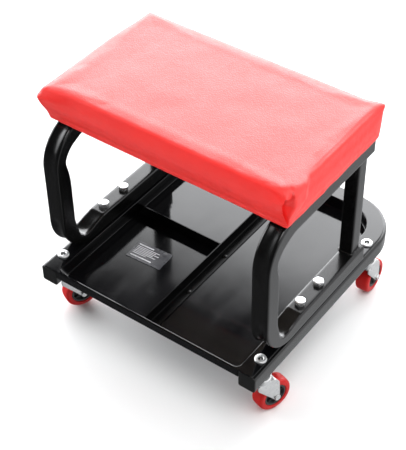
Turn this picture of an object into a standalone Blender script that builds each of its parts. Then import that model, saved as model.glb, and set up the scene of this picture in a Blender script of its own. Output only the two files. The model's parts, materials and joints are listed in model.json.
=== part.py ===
"""Rolling mechanic's creeper seat.

A padded seat rests on two bent square-tube side frames. The frames are bolted through the rim of
a sunk tool tray to a U-shaped base tube, which rolls on four swivel casters.

Metres, +Z up. The origin is on the ground under the middle of the object. -Y is the front, where
the side frames bend and the base tube is open, and +Y is the rear, where the base tube closes.
"""
import math

import bmesh
import bpy
from mathutils import Matrix, Vector

OBJECT_NAME = "mechanics_creeper_seat"

# Fits
GAP = 0.0003                    # between pieces that touch
HOLE_CLEARANCE = 0.0003         # round a bolt in its hole
CUT_MARGIN = 0.002              # how far a cutter runs past what it cuts

# Square steel tube
TUBE = 0.025                    # outside width
TUBE_WALL = 0.0015
TUBE_CORNER = 0.003             # outside corner radius
BEND_STEPS = 7                  # straight pieces in a 90 degree bend

# Base tube, a U in plan
BASE_HALF_WIDTH = 0.1733
BASE_LENGTH = 0.3702            # front of the end caps to the rear face
BASE_BOTTOM = 0.0711
BASE_BEND = 0.0575              # centreline radius of the two rear corners

# End caps
CAP_PLATE = 0.0017
CAP_PLUG = 0.010

# Tool tray
TRAY_SHEET = 0.0018
TRAY_DEPTH = 0.020              # rim to floor
TRAY_RIM_SETBACK = 0.004        # rim edge in from the base tube's outer face
TRAY_FRONT_RIM = 0.0033         # width of the rim across the front
TRAY_FRONT_CORNER = 0.008
TRAY_RIM_CORNER = 0.003
TRAY_FRONT_LEAN = 0.55          # how far the front wall goes back for each metre down
TRAY_FRONT_ZONE = -0.150        # what lies ahead of this leans with the front wall
SKIRT_DROP = 0.0120             # front lip, from the rim down

# Dividers: folded L sheets that stand on the tray floor
DIVIDER_SHEET = 0.0012
DIVIDER_FOOT = 0.0135
DIVIDER_DROP = 0.0018           # divider top below the rim
LONG_DIVIDER_X = -0.0015
CROSS_DIVIDER_Y = -0.012
RIVET_RADIUS = 0.004
RIVET_HEAD = 0.0012
RIVET_Y = (-0.098, -0.015)

# Label on the tray floor
LABEL_SIZE = (0.056, 0.034, 0.0004)
LABEL_PLACE = (-0.079, -0.072)
LABEL_TURN = math.radians(3.0)

# Side frames
FRAME_HEIGHT = 0.2097           # underside of the run to the top of the rail
FRAME_FRONT = -0.1605           # front face of the upright
FRAME_BEND = 0.0475             # centreline radius
RUN_END = 0.0690                # rear end of the bottom run, without its cap
RAIL_END = 0.0712               # rear end of the top rail, without its cap
LEG_TUBE = 0.020                # square rear leg
LEG_FRONT = 0.0458
FRAME_BOLT_Y = (-0.0660, -0.0231)
SEAT_SCREW_Y = (-0.0750, 0.0250)

# Seat
SEAT_HALF_WIDTH = 0.1778
SEAT_FRONT = -0.1324
SEAT_REAR = 0.0732
SEAT_TOP = 0.3573
COVER_SHEET = 0.0010
COVER_TURN_UNDER = 0.026        # hem stapled under the board
SEAT_CORNER = 0.008             # corner radius in plan
SEAT_EDGE = 0.007               # radius round the top edge
BOARD_THICKNESS = 0.012

# Casters
CASTER_Y = {"front": -0.1543, "rear": 0.1019}
WHEEL_RADIUS = 0.025
WHEEL_WIDTH = 0.020
CASTER_TRAIL = 0.0188           # kingpin axis to wheel axle
FORK_WIDTH = 0.0252
FORK_SHEET = 0.0016
FORK_EAR = 0.0055               # radius of the ear round the axle
CHEEK_FRONT = -0.0120           # front and rear edges of a fork cheek, from the kingpin axis
CHEEK_REAR = 0.0150
CHEEK_FRONT_STRAIGHT = 0.0070   # upright part of the cheek's front edge
CHEEK_REAR_BULGE = (0.0040, 0.0100)     # back from the rear edge, down from the top
CROWN_RADIUS = 0.0140
CROWN_LIP = 0.0004              # the crown's rim reaches this far below the bracket's top
CROWN_SHOULDER = 0.0010         # chamfer of the crown and the race
CROWN_TAPER = 0.0030            # the crown narrows this much where it meets the bracket
RACE_HEIGHT = 0.0040
RACE_RADIUS = 0.0146
CROWN_HEIGHT = 0.0038
STUD_RADIUS = 0.0060
STUD_FOOT = (0.0022, 0.0012, 0.0016)    # peened foot: rim at its top, rim at its end, height
HUB_CORE_RADIUS = 0.0062
HUB_RIM_RADIUS = 0.0150
HUB_LIP_RADIUS = 0.0165
HUB_RECESS = 0.0050             # web below the wheel's face
HUB_RIM_THICKNESS = 0.0020
HUB_RIM_STEP = 0.0010
HUB_CORE_PROUD = 0.0006
TYRE_SHOULDER = 0.0035          # radius of the rounded tread edge
CASTER_TURN = {                 # direction in which the wheel trails, degrees from +X
    "front_left": 65.0,
    "front_right": 72.0,
    "rear_left": 108.0,
    "rear_right": 93.0,
}

# Fasteners: shank radius, width across flats, head height
FRAME_BOLT = (0.0040, 0.0130, 0.0053)
SEAT_SCREW = (0.0030, 0.0100, 0.0040)
AXLE_BOLT = (0.0030, 0.0080, 0.0018)
CASTER_SCREW_SHANK = 0.0040
CASTER_SCREW_TAIL = 0.0004      # past the crown's top
CASTER_SCREW_HEAD = (0.0080, 0.0026)    # radius, height
CASTER_SCREW_SOCKET = 0.0040    # hexagon socket, across flats
AXLE_NUT_HEIGHT = 0.0032
AXLE_BOLT_TAIL = 0.0042         # past the fork
FRAME_BOLT_TAIL = 0.002         # past the nut
ROUND_STEPS = 12                # sides of a round shank or hole

# Heights and places that follow from the sizes above
BASE_TOP = BASE_BOTTOM + TUBE
BASE_REAR = BASE_LENGTH / 2
BASE_FRONT = -BASE_LENGTH / 2
BASE_TUBE_FRONT = BASE_FRONT + CAP_PLATE + GAP
TUBE_LINE_X = BASE_HALF_WIDTH - TUBE / 2
RIM_BOTTOM = BASE_TOP + GAP
RIM_TOP = RIM_BOTTOM + TRAY_SHEET
FLOOR_TOP = RIM_TOP - TRAY_DEPTH
DIVIDER_BOTTOM = FLOOR_TOP + GAP
DIVIDER_TOP = RIM_TOP - DIVIDER_DROP
FOOT_TOP = DIVIDER_BOTTOM + DIVIDER_SHEET
POCKET_HALF_WIDTH = BASE_HALF_WIDTH - TUBE - GAP
POCKET_REAR = BASE_REAR - TUBE - GAP
POCKET_FRONT = BASE_FRONT + TRAY_FRONT_RIM - TRAY_SHEET
RUN_BOTTOM = RIM_TOP + GAP
RUN_TOP = RUN_BOTTOM + TUBE
RAIL_TOP = RUN_BOTTOM + FRAME_HEIGHT
RAIL_BOTTOM = RAIL_TOP - TUBE
SEAT_BOTTOM = RAIL_TOP + GAP
BOARD_BOTTOM = SEAT_BOTTOM + COVER_SHEET + GAP
BOARD_TOP = BOARD_BOTTOM + BOARD_THICKNESS
SEAT_SCREW_TIP = BOARD_BOTTOM + BOARD_THICKNESS * 0.7
RACE_TOP = BASE_BOTTOM - GAP
RACE_BOTTOM = RACE_TOP - RACE_HEIGHT
CROWN_TOP = RACE_BOTTOM - GAP
BRACKET_TOP = CROWN_TOP - CROWN_HEIGHT
SIDES = {"left": -1, "right": 1}


# ---------------------------------------------------------------- scene and materials

def clear_scene():
    for item in list(bpy.data.objects):
        bpy.data.objects.remove(item, do_unlink=True)


def make_collection(name):
    group = bpy.data.collections.new(name)
    bpy.context.scene.collection.children.link(group)
    return group


def make_material(name, colour, roughness, metallic=0.0):
    material = bpy.data.materials.new(name)
    material.use_nodes = True
    shader = material.node_tree.nodes["Principled BSDF"]
    shader.inputs["Base Color"].default_value = (*colour, 1.0)
    shader.inputs["Roughness"].default_value = roughness
    shader.inputs["Metallic"].default_value = metallic
    material.diffuse_color = (*colour, 1.0)
    return material


def add_object(name, mesh, group):
    item = bpy.data.objects.new(name, mesh)
    group.objects.link(item)
    return item


def keep(item, name, material):
    """Name a finished piece, give it its material and move it to the object's collection."""
    item.name = name
    item.data.name = name
    item.data.materials.clear()
    item.data.materials.append(material)
    for group in list(item.users_collection):
        group.objects.unlink(item)
    PARTS.objects.link(item)
    return item


def shade_round(item, angle=35.0):
    item.data.shade_smooth()
    item.data.set_sharp_from_angle(angle=math.radians(angle))
    return item


# ---------------------------------------------------------------- basic shapes

def bake(item):
    """Replace an object by a plain mesh of what it evaluates to, in world space and welded."""
    graph = bpy.context.evaluated_depsgraph_get()
    graph.update()
    mesh = bpy.data.meshes.new_from_object(item.evaluated_get(graph))
    mesh.transform(item.matrix_world)
    body = bmesh.new()
    body.from_mesh(mesh)
    bmesh.ops.remove_doubles(body, verts=body.verts, dist=0.00001)
    body.to_mesh(mesh)
    body.free()
    result = add_object(item.name, mesh, WORK)
    bpy.data.objects.remove(item, do_unlink=True)
    return result


def block(low, high):
    """A box between two corners."""
    size = [b - a for a, b in zip(low, high)]
    centre = [(a + b) / 2 for a, b in zip(low, high)]
    body = bmesh.new()
    bmesh.ops.create_cube(body, size=1.0)
    bmesh.ops.scale(body, vec=size, verts=body.verts)
    bmesh.ops.translate(body, vec=centre, verts=body.verts)
    mesh = bpy.data.meshes.new("block")
    body.to_mesh(mesh)
    body.free()
    return add_object("block", mesh, WORK)


def rod(radius, start, end, steps=ROUND_STEPS):
    """A straight bar from start to end: round, or hexagonal with six steps."""
    axis = Vector(end) - Vector(start)
    body = bmesh.new()
    bmesh.ops.create_cone(body, cap_ends=True, segments=steps, radius1=radius, radius2=radius,
                          depth=axis.length)
    turn = Vector((0, 0, 1)).rotation_difference(axis).to_matrix().to_4x4()
    middle = Matrix.Translation((Vector(start) + Vector(end)) / 2)
    bmesh.ops.transform(body, matrix=middle @ turn, verts=body.verts)
    mesh = bpy.data.meshes.new("rod")
    body.to_mesh(mesh)
    body.free()
    return add_object("rod", mesh, WORK)


def hexagon(across_flats, start, end):
    return rod(across_flats / math.sqrt(3), start, end, steps=6)


def turned(profile, steps, closed=False):
    """Turn a profile of (radius, height) points about Z. It runs down its outer side."""
    mesh = bpy.data.meshes.new("turned")
    points = [(radius, 0.0, height) for radius, height in profile]
    edges = [(i, i + 1) for i in range(len(points) - 1)]
    if closed:
        edges.append((len(points) - 1, 0))
    mesh.from_pydata(points, edges, [])
    item = add_object("turned", mesh, WORK)
    screw = item.modifiers.new("turn", "SCREW")
    screw.axis = "Z"
    screw.angle = 2 * math.pi
    screw.steps = steps
    screw.render_steps = steps
    screw.use_merge_vertices = True
    screw.merge_threshold = 0.00001
    return bake(item)


def arc(centre, radius, start, end, steps):
    """Points on a circle from one angle to another, in degrees, both ends included."""
    turn = [math.radians(start + (end - start) * i / steps) for i in range(steps + 1)]
    return [(centre[0] + radius * math.cos(a), centre[1] + radius * math.sin(a)) for a in turn]


def plate(outline, bottom, top):
    """A flat outline of (x, y) points raised from one height to another."""
    curve = bpy.data.curves.new("plate", "CURVE")
    curve.dimensions = "2D"
    curve.fill_mode = "BOTH"
    curve.extrude = (top - bottom) / 2
    line = curve.splines.new("POLY")
    line.points.add(len(outline) - 1)
    for point, (x, y) in zip(line.points, outline):
        point.co = (x, y, 0.0, 1.0)
    line.use_cyclic_u = True
    item = add_object("plate", curve, WORK)
    item.location.z = (bottom + top) / 2
    bpy.context.view_layer.update()
    return bake(item)


def rounded_square(width, corner):
    """Outline of a square tube: one bevel across each corner arc."""
    reach = width / 2 - corner
    centres = [(reach, reach, 0), (-reach, reach, 90), (-reach, -reach, 180), (reach, -reach, 270)]
    points = []
    for x, y, turn in centres:
        points += arc((x, y), corner, turn, turn + 90, 2)
    return points


def square_tube(path, width):
    """A hollow square tube with open ends, swept along a flat path of 3-D points."""
    section = bpy.data.curves.new("section", "CURVE")
    section.dimensions = "2D"
    ring = section.splines.new("POLY")
    outline = rounded_square(width, TUBE_CORNER)
    ring.points.add(len(outline) - 1)
    for point, (x, y) in zip(ring.points, outline):
        point.co = (x, y, 0.0, 1.0)
    ring.use_cyclic_u = True
    guide = add_object("section", section, WORK)

    curve = bpy.data.curves.new("tube", "CURVE")
    curve.dimensions = "3D"
    curve.bevel_mode = "OBJECT"
    curve.bevel_object = guide
    line = curve.splines.new("POLY")
    line.points.add(len(path) - 1)
    for point, place in zip(line.points, path):
        point.co = (*place, 1.0)
    skin = bake(add_object("tube", curve, WORK))
    bpy.data.objects.remove(guide, do_unlink=True)

    shell = bmesh.new()
    shell.from_mesh(skin.data)
    bmesh.ops.recalc_face_normals(shell, faces=shell.faces)
    if not faces_outward(shell, path):
        bmesh.ops.reverse_faces(shell, faces=shell.faces)
    shell.to_mesh(skin.data)
    shell.free()
    wall = skin.modifiers.new("wall", "SOLIDIFY")
    wall.thickness = TUBE_WALL
    wall.offset = -1.0
    wall.use_even_offset = True
    wall.use_rim = True
    return bake(skin)


def faces_outward(shell, path):
    """True when the first face of a swept skin points away from the path's first stretch."""
    shell.faces.ensure_lookup_table()
    start = Vector(path[0])
    along = (Vector(path[1]) - start).normalized()
    nearest = min(shell.faces, key=lambda face: (face.calc_center_median() - start).length)
    spoke = nearest.calc_center_median() - start
    spoke -= along * spoke.dot(along)
    return nearest.normal.dot(spoke) > 0


def combine(item, others, operation):
    """Boolean with each of the other objects in turn, which are used up."""
    for other in others:
        step = item.modifiers.new(operation, "BOOLEAN")
        step.operation = operation
        step.solver = "EXACT"
        step.object = other
        other.display_type = "WIRE"
        other.hide_render = True
    bpy.context.view_layer.update()
    result = bake(item)
    for other in others:
        bpy.data.objects.remove(other, do_unlink=True)
    return result


def cut(item, cutters):
    return combine(item, cutters, "DIFFERENCE")


def join(item, others):
    return combine(item, others, "UNION")


def drill(radius, x, y, bottom, top):
    """Cutter for an upright hole, a little longer than what it goes through."""
    return rod(radius + HOLE_CLEARANCE, (x, y, bottom - CUT_MARGIN), (x, y, top + CUT_MARGIN))


# ---------------------------------------------------------------- base and tray

def make_base_tube():
    corner_y = BASE_REAR - TUBE / 2 - BASE_BEND
    corner_x = TUBE_LINE_X - BASE_BEND
    height = BASE_BOTTOM + TUBE / 2
    flat = [(TUBE_LINE_X, BASE_TUBE_FRONT)]
    flat += arc((corner_x, corner_y), BASE_BEND, 0, 90, BEND_STEPS)
    flat += arc((-corner_x, corner_y), BASE_BEND, 90, 180, BEND_STEPS)
    flat += [(-TUBE_LINE_X, BASE_TUBE_FRONT)]
    tube = square_tube([(x, y, height) for x, y in flat], TUBE)
    holes = [drill(FRAME_BOLT[0], side * TUBE_LINE_X, y, BASE_BOTTOM, BASE_TOP)
             for side in SIDES.values() for y in FRAME_BOLT_Y]
    holes += [drill(CASTER_SCREW_SHANK, side * TUBE_LINE_X, y, BASE_BOTTOM, BASE_TOP)
              for side in SIDES.values() for y in CASTER_Y.values()]
    keep(shade_round(cut(tube, holes)), "base_tube", STEEL_BLACK)


def make_cap(name, place, facing):
    """Plastic cap in a tube end: a plate the size of the tube and a plug inside it."""
    plug_width = TUBE - 2 * TUBE_WALL - 2 * GAP
    cap = plate(rounded_square(TUBE, TUBE_CORNER), 0.0, CAP_PLATE)
    plug = plate(rounded_square(plug_width, TUBE_CORNER), -CAP_PLUG, CAP_PLATE / 2)
    cap = join(cap, [plug])
    turn = Vector((0, 0, 1)).rotation_difference(Vector(facing)).to_matrix().to_4x4()
    cap.data.transform(Matrix.Translation(place) @ turn)
    keep(cap, name, CAP_PLASTIC)


def pocket_outline(half_width, front, rear, front_corner, rear_corner):
    right = arc((half_width - front_corner, front + front_corner), front_corner, -90, 0, 3)
    right += arc((half_width - rear_corner, rear - rear_corner), rear_corner, 0, 90, BEND_STEPS)
    left = [(-x, y) for x, y in reversed(right)]
    return right + left


def lean_front(item):
    """Slope the front of a piece back towards its foot, as the tray's front wall does."""
    for vertex in item.data.vertices:
        if vertex.co.y < TRAY_FRONT_ZONE:
            vertex.co.y += TRAY_FRONT_LEAN * (RIM_TOP - vertex.co.z)
    return item


def make_tray():
    rim_reach = BASE_HALF_WIDTH - TRAY_RIM_SETBACK
    rim_rear = BASE_REAR - TRAY_RIM_SETBACK
    rim_corner = BASE_BEND + TUBE / 2 - TRAY_RIM_SETBACK
    pocket_corner = BASE_BEND - TUBE / 2 - GAP
    rim = plate(pocket_outline(rim_reach, BASE_FRONT, rim_rear, TRAY_RIM_CORNER, rim_corner),
                RIM_BOTTOM, RIM_TOP)
    tub = plate(pocket_outline(POCKET_HALF_WIDTH, POCKET_FRONT, POCKET_REAR,
                               TRAY_FRONT_CORNER + TRAY_SHEET, pocket_corner),
                FLOOR_TOP - TRAY_SHEET, RIM_BOTTOM + TRAY_SHEET / 2)
    skirt = block((-POCKET_HALF_WIDTH, BASE_FRONT, RIM_TOP - SKIRT_DROP),
                  (POCKET_HALF_WIDTH, BASE_FRONT + TRAY_SHEET, RIM_BOTTOM + TRAY_SHEET / 2))
    inside = plate(pocket_outline(POCKET_HALF_WIDTH - TRAY_SHEET, POCKET_FRONT + TRAY_SHEET,
                                  POCKET_REAR - TRAY_SHEET, TRAY_FRONT_CORNER,
                                  pocket_corner - TRAY_SHEET),
                   FLOOR_TOP, RIM_TOP + TRAY_DEPTH)
    holes = [drill(FRAME_BOLT[0], side * TUBE_LINE_X, y, RIM_BOTTOM, RIM_TOP)
             for side in SIDES.values() for y in FRAME_BOLT_Y]
    holes += [drill(CASTER_SCREW_SHANK, side * TUBE_LINE_X, y, RIM_BOTTOM, RIM_TOP)
              for side in SIDES.values() for y in CASTER_Y.values()]
    tray = cut(join(rim, [lean_front(tub), skirt]), [lean_front(inside)] + holes)
    keep(shade_round(tray), "tool_tray", TRAY_PLASTIC)


def make_dividers():
    inner_front = POCKET_FRONT + TRAY_SHEET + GAP
    inner_rear = POCKET_REAR - TRAY_SHEET - GAP
    inner_left = -POCKET_HALF_WIDTH + TRAY_SHEET + GAP
    half = DIVIDER_SHEET / 2

    wall = block((LONG_DIVIDER_X - half, inner_front, DIVIDER_BOTTOM),
                 (LONG_DIVIDER_X + half, inner_rear, DIVIDER_TOP))
    foot = block((LONG_DIVIDER_X, inner_front, DIVIDER_BOTTOM),
                 (LONG_DIVIDER_X + DIVIDER_FOOT, inner_rear, FOOT_TOP))
    keep(join(lean_front(wall), [lean_front(foot)]), "long_divider", DIVIDER_STEEL)

    wall = block((inner_left, CROSS_DIVIDER_Y - half, DIVIDER_BOTTOM),
                 (LONG_DIVIDER_X - half - GAP, CROSS_DIVIDER_Y + half, DIVIDER_TOP))
    foot = block((inner_left, CROSS_DIVIDER_Y, DIVIDER_BOTTOM),
                 (LONG_DIVIDER_X - half - GAP, CROSS_DIVIDER_Y + DIVIDER_FOOT, FOOT_TOP))
    keep(join(wall, [foot]), "cross_divider", DIVIDER_STEEL)

    dome = [(0.0, RIVET_HEAD), (RIVET_RADIUS * 0.75, RIVET_HEAD * 0.75), (RIVET_RADIUS, 0.0),
            (0.0, 0.0)]
    for number, y in enumerate(RIVET_Y, start=1):
        rivet = shade_round(turned(dome, 16), 60)
        rivet.data.transform(Matrix.Translation(
            (LONG_DIVIDER_X + DIVIDER_FOOT * 0.62, y, FOOT_TOP + GAP)))
        keep(rivet, f"divider_rivet_{number}", DIVIDER_STEEL)


def make_label():
    wide, deep, thick = LABEL_SIZE
    label = block((-wide / 2, -deep / 2, 0.0), (wide / 2, deep / 2, thick))
    label.location = (*LABEL_PLACE, FLOOR_TOP + GAP)
    label.rotation_euler.z = LABEL_TURN
    keep(label, "floor_label", LABEL_FILM)


# ---------------------------------------------------------------- side frames

def make_side_frame(side_name):
    side = SIDES[side_name]
    x = side * TUBE_LINE_X
    run_line = RUN_BOTTOM + TUBE / 2
    rail_line = RAIL_TOP - TUBE / 2
    bend_y = FRAME_FRONT + TUBE / 2 + FRAME_BEND
    flat = [(RUN_END, run_line)]
    flat += arc((bend_y, run_line + FRAME_BEND), FRAME_BEND, 270, 180, BEND_STEPS)
    flat += arc((bend_y, rail_line - FRAME_BEND), FRAME_BEND, 180, 90, BEND_STEPS)
    flat += [(RAIL_END, rail_line)]
    tube = square_tube([(x, y, z) for y, z in flat], TUBE)
    holes = [drill(FRAME_BOLT[0], x, y, RUN_BOTTOM, RUN_TOP) for y in FRAME_BOLT_Y]
    holes += [drill(SEAT_SCREW[0], x, y, RAIL_BOTTOM, RAIL_TOP) for y in SEAT_SCREW_Y]
    keep(shade_round(cut(tube, holes)), f"side_tube_{side_name}", STEEL_BLACK)

    leg_x = side * (BASE_HALF_WIDTH - TUBE + LEG_TUBE / 2)
    leg_y = LEG_FRONT + LEG_TUBE / 2
    foot = (leg_x, leg_y, RUN_TOP + GAP)
    head = (leg_x, leg_y, RAIL_BOTTOM - GAP)
    leg = square_tube([foot, head], LEG_TUBE)
    keep(shade_round(leg), f"rear_leg_{side_name}", STEEL_BLACK)

    make_cap(f"run_cap_{side_name}", (x, RUN_END + GAP, run_line), (0, 1, 0))
    make_cap(f"rail_cap_{side_name}", (x, RAIL_END + GAP, rail_line), (0, 1, 0))
    make_cap(f"base_cap_{side_name}", (x, BASE_TUBE_FRONT - GAP, BASE_BOTTOM + TUBE / 2), (0, -1, 0))


def make_hex_bolt(name, sizes, place, shank_end, material):
    """Upright bolt: its hexagonal head rests at place, and its shank goes to another height."""
    shank, flats, head = sizes
    up = 1 if shank_end < place[2] else -1
    top = (place[0], place[1], place[2] + up * head)
    bolt = hexagon(flats, place, top)
    tail = rod(shank, (place[0], place[1], place[2] + up * head / 2), (place[0], place[1], shank_end))
    keep(join(bolt, [tail]), name, material)


def make_hex_nut(name, radius, flats, start, end, material):
    nut = hexagon(flats, start, end)
    reach = (Vector(end) - Vector(start)).normalized() * CUT_MARGIN
    bore = rod(radius + HOLE_CLEARANCE, Vector(start) - reach, Vector(end) + reach)
    keep(cut(nut, [bore]), name, material)


def make_frame_fasteners():
    for side_name, side in SIDES.items():
        x = side * TUBE_LINE_X
        for place, y in zip(("front", "rear"), FRAME_BOLT_Y):
            shank, flats, head = FRAME_BOLT
            nut_top = BASE_BOTTOM - GAP
            nut_bottom = nut_top - head
            make_hex_bolt(f"frame_bolt_{place}_{side_name}", FRAME_BOLT, (x, y, RUN_TOP + GAP),
                          nut_bottom - FRAME_BOLT_TAIL, ZINC)
            make_hex_nut(f"frame_nut_{place}_{side_name}", shank, flats, (x, y, nut_bottom),
                         (x, y, nut_top), ZINC)
        for place, y in zip(("front", "rear"), SEAT_SCREW_Y):
            make_hex_bolt(f"seat_screw_{place}_{side_name}", SEAT_SCREW, (x, y, RAIL_BOTTOM - GAP),
                          SEAT_SCREW_TIP, ZINC)


# ---------------------------------------------------------------- seat

def seat_block(inset, bottom, top, edge):
    """A block with the seat's plan, set in all round, with rounded corners and top edge."""
    corner = max(SEAT_CORNER - inset, 0.0)
    low = (-SEAT_HALF_WIDTH + inset, SEAT_FRONT + inset, bottom)
    high = (SEAT_HALF_WIDTH - inset, SEAT_REAR - inset, top)
    item = block(low, high)
    body = bmesh.new()
    body.from_mesh(item.data)
    if corner:
        upright = [line for line in body.edges if line.verts[0].co.z != line.verts[1].co.z]
        bmesh.ops.bevel(body, geom=upright, offset=corner, segments=4, affect="EDGES", profile=0.5)
    if edge:
        middle = (bottom + top) / 2
        ring = [line for line in body.edges if all(vertex.co.z > middle for vertex in line.verts)]
        bmesh.ops.bevel(body, geom=ring, offset=edge, segments=3, affect="EDGES", profile=0.5)
    body.to_mesh(item.data)
    body.free()
    return item


def seat_screw_holes(bottom, top):
    return [drill(SEAT_SCREW[0], side * TUBE_LINE_X, y, bottom, top)
            for side in SIDES.values() for y in SEAT_SCREW_Y]


def make_seat():
    """Plywood board and foam block in a vinyl cover, which is turned under the board as a hem."""
    inner_bottom = SEAT_BOTTOM + COVER_SHEET
    inner_top = SEAT_TOP - COVER_SHEET
    inside = seat_block(COVER_SHEET, inner_bottom, inner_top, SEAT_EDGE - COVER_SHEET)
    window = seat_block(COVER_TURN_UNDER, SEAT_BOTTOM - COVER_SHEET, inner_bottom + COVER_SHEET, 0.0)
    cutters = [inside, window] + seat_screw_holes(SEAT_BOTTOM, inner_bottom)
    cover = cut(seat_block(0.0, SEAT_BOTTOM, SEAT_TOP, SEAT_EDGE), cutters)
    keep(shade_round(cover, 50), "seat_cover", VINYL)

    inset = COVER_SHEET + GAP
    holes = seat_screw_holes(BOARD_BOTTOM, SEAT_SCREW_TIP)
    board = cut(seat_block(inset, BOARD_BOTTOM, BOARD_TOP, 0.0), holes)
    keep(board, "seat_board", PLYWOOD)
    foam = seat_block(inset, BOARD_TOP + GAP, inner_top - GAP, SEAT_EDGE - inset)
    keep(shade_round(foam, 50), "seat_foam", FOAM)


# ---------------------------------------------------------------- casters

def caster_screw():
    """Pan head screw that holds the caster's stud from above the tray rim."""
    radius, height = CASTER_SCREW_HEAD
    seat = RIM_TOP + GAP
    tip = CROWN_TOP - CASTER_SCREW_TAIL
    profile = [(0.0, seat + height), (radius * 0.72, seat + height), (radius, seat + height * 0.45),
               (radius, seat), (CASTER_SCREW_SHANK, seat), (CASTER_SCREW_SHANK, tip), (0.0, tip)]
    screw = turned(profile, 16)
    socket = hexagon(CASTER_SCREW_SOCKET, (0, 0, seat + height * 0.3), (0, 0, seat + height * 2))
    return shade_round(cut(screw, [socket]))


def caster_stud():
    """Upper race with the hollow stud that carries the fork: a flat cup, a stem, a peened foot."""
    bore = CASTER_SCREW_SHANK + HOLE_CLEARANCE
    foot_rim, foot_end, foot_height = STUD_FOOT
    foot_top = BRACKET_TOP - FORK_SHEET - GAP
    foot = foot_top - foot_height
    profile = [(bore, RACE_TOP), (RACE_RADIUS - CROWN_SHOULDER, RACE_TOP),
               (RACE_RADIUS, RACE_TOP - CROWN_SHOULDER), (RACE_RADIUS, RACE_BOTTOM),
               (STUD_RADIUS, RACE_BOTTOM), (STUD_RADIUS, foot_top),
               (STUD_RADIUS + foot_rim, foot_top), (STUD_RADIUS + foot_end, foot), (bore, foot)]
    return shade_round(turned(profile, 16, closed=True))


def cheek_outline():
    """Side view of the fork, (along the trail, height): a wide top and a round ear at the axle."""
    back, down = CHEEK_REAR_BULGE
    points = [(CHEEK_REAR, BRACKET_TOP), (CHEEK_FRONT, BRACKET_TOP),
              (CHEEK_FRONT, BRACKET_TOP - CHEEK_FRONT_STRAIGHT)]
    points += arc((CASTER_TRAIL, WHEEL_RADIUS), FORK_EAR, 200, 370, 6)
    points += [(CHEEK_REAR + back, BRACKET_TOP - down)]
    return points


def upright_plate(outline, low, high):
    """A plate whose outline is in the X-Z plane and whose thickness runs along Y."""
    item = plate(outline, low, high)
    turn = Matrix(((1, 0, 0, 0), (0, 0, -1, 0), (0, 1, 0, 0), (0, 0, 0, 1)))
    item.data.transform(turn)
    return item


def fork():
    """Bent sheet fork under a round crown that covers the bearing."""
    half = FORK_WIDTH / 2
    reach = CASTER_TRAIL + FORK_EAR + CUT_MARGIN
    foot = BRACKET_TOP - FORK_SHEET / 2
    bracket = upright_plate(cheek_outline(), -half, half)
    room = block((-reach, -half + FORK_SHEET, 0.0), (reach, half - FORK_SHEET,
                                                    BRACKET_TOP - FORK_SHEET))
    crown = turned([(0.0, CROWN_TOP), (CROWN_RADIUS - CROWN_SHOULDER, CROWN_TOP),
                    (CROWN_RADIUS, CROWN_TOP - CROWN_SHOULDER),
                    (CROWN_RADIUS, BRACKET_TOP - CROWN_LIP),
                    (CROWN_RADIUS - CROWN_TAPER, foot), (0.0, foot)], 16)
    stem_hole = rod(STUD_RADIUS + HOLE_CLEARANCE, (0, 0, foot - CUT_MARGIN),
                    (0, 0, CROWN_TOP + CUT_MARGIN), 16)
    axle_hole = rod(AXLE_BOLT[0] + HOLE_CLEARANCE, (CASTER_TRAIL, -FORK_WIDTH, WHEEL_RADIUS),
                    (CASTER_TRAIL, FORK_WIDTH, WHEEL_RADIUS))
    bracket = cut(bracket, [room])
    return shade_round(cut(join(bracket, [crown]), [stem_hole, axle_hole]))


def on_axle(item):
    """Lay a piece turned about Z along the wheel's axle, which runs in Y through the origin."""
    item.data.transform(Matrix.Rotation(math.radians(90), 4, "X"))
    return item


def wheel_hub():
    half = WHEEL_WIDTH / 2
    bore = AXLE_BOLT[0] + HOLE_CLEARANCE
    lip_face = half - HUB_RIM_STEP
    right = [(bore, half + HUB_CORE_PROUD), (HUB_CORE_RADIUS, half + HUB_CORE_PROUD),
             (HUB_CORE_RADIUS, half - HUB_RECESS),
             (HUB_RIM_RADIUS - HUB_RIM_THICKNESS, half - HUB_RECESS),
             (HUB_RIM_RADIUS - HUB_RIM_STEP, lip_face), (HUB_LIP_RADIUS, lip_face)]
    profile = right + [(radius, -across) for radius, across in reversed(right)]
    return shade_round(on_axle(turned(profile, 16, closed=True)))


def tyre():
    half = WHEEL_WIDTH / 2
    inner = HUB_LIP_RADIUS + GAP
    right = arc((WHEEL_RADIUS - TYRE_SHOULDER, half - TYRE_SHOULDER), TYRE_SHOULDER, 90, 0, 3)
    left = [(radius, -across) for radius, across in reversed(right)]
    profile = [(inner, half)] + right + left + [(inner, -half)]
    return shade_round(on_axle(turned(profile, 24, closed=True)))


def axle_bolt():
    """Head on the -Y side of the fork, shank across it and out of the nut."""
    shank, flats, head = AXLE_BOLT
    half = FORK_WIDTH / 2
    bolt = hexagon(flats, (0, -half - GAP - head, 0), (0, -half - GAP, 0))
    tail = rod(shank, (0, -half - GAP - head / 2, 0), (0, half + AXLE_BOLT_TAIL, 0))
    return join(bolt, [tail])


def axle_nut():
    shank, flats, _ = AXLE_BOLT
    start = FORK_WIDTH / 2 + GAP
    end = start + AXLE_NUT_HEIGHT
    nut = hexagon(flats, (0, start, 0), (0, end, 0))
    bore = rod(shank + HOLE_CLEARANCE, (0, start - CUT_MARGIN, 0), (0, end + CUT_MARGIN, 0))
    return cut(nut, [bore])


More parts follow.
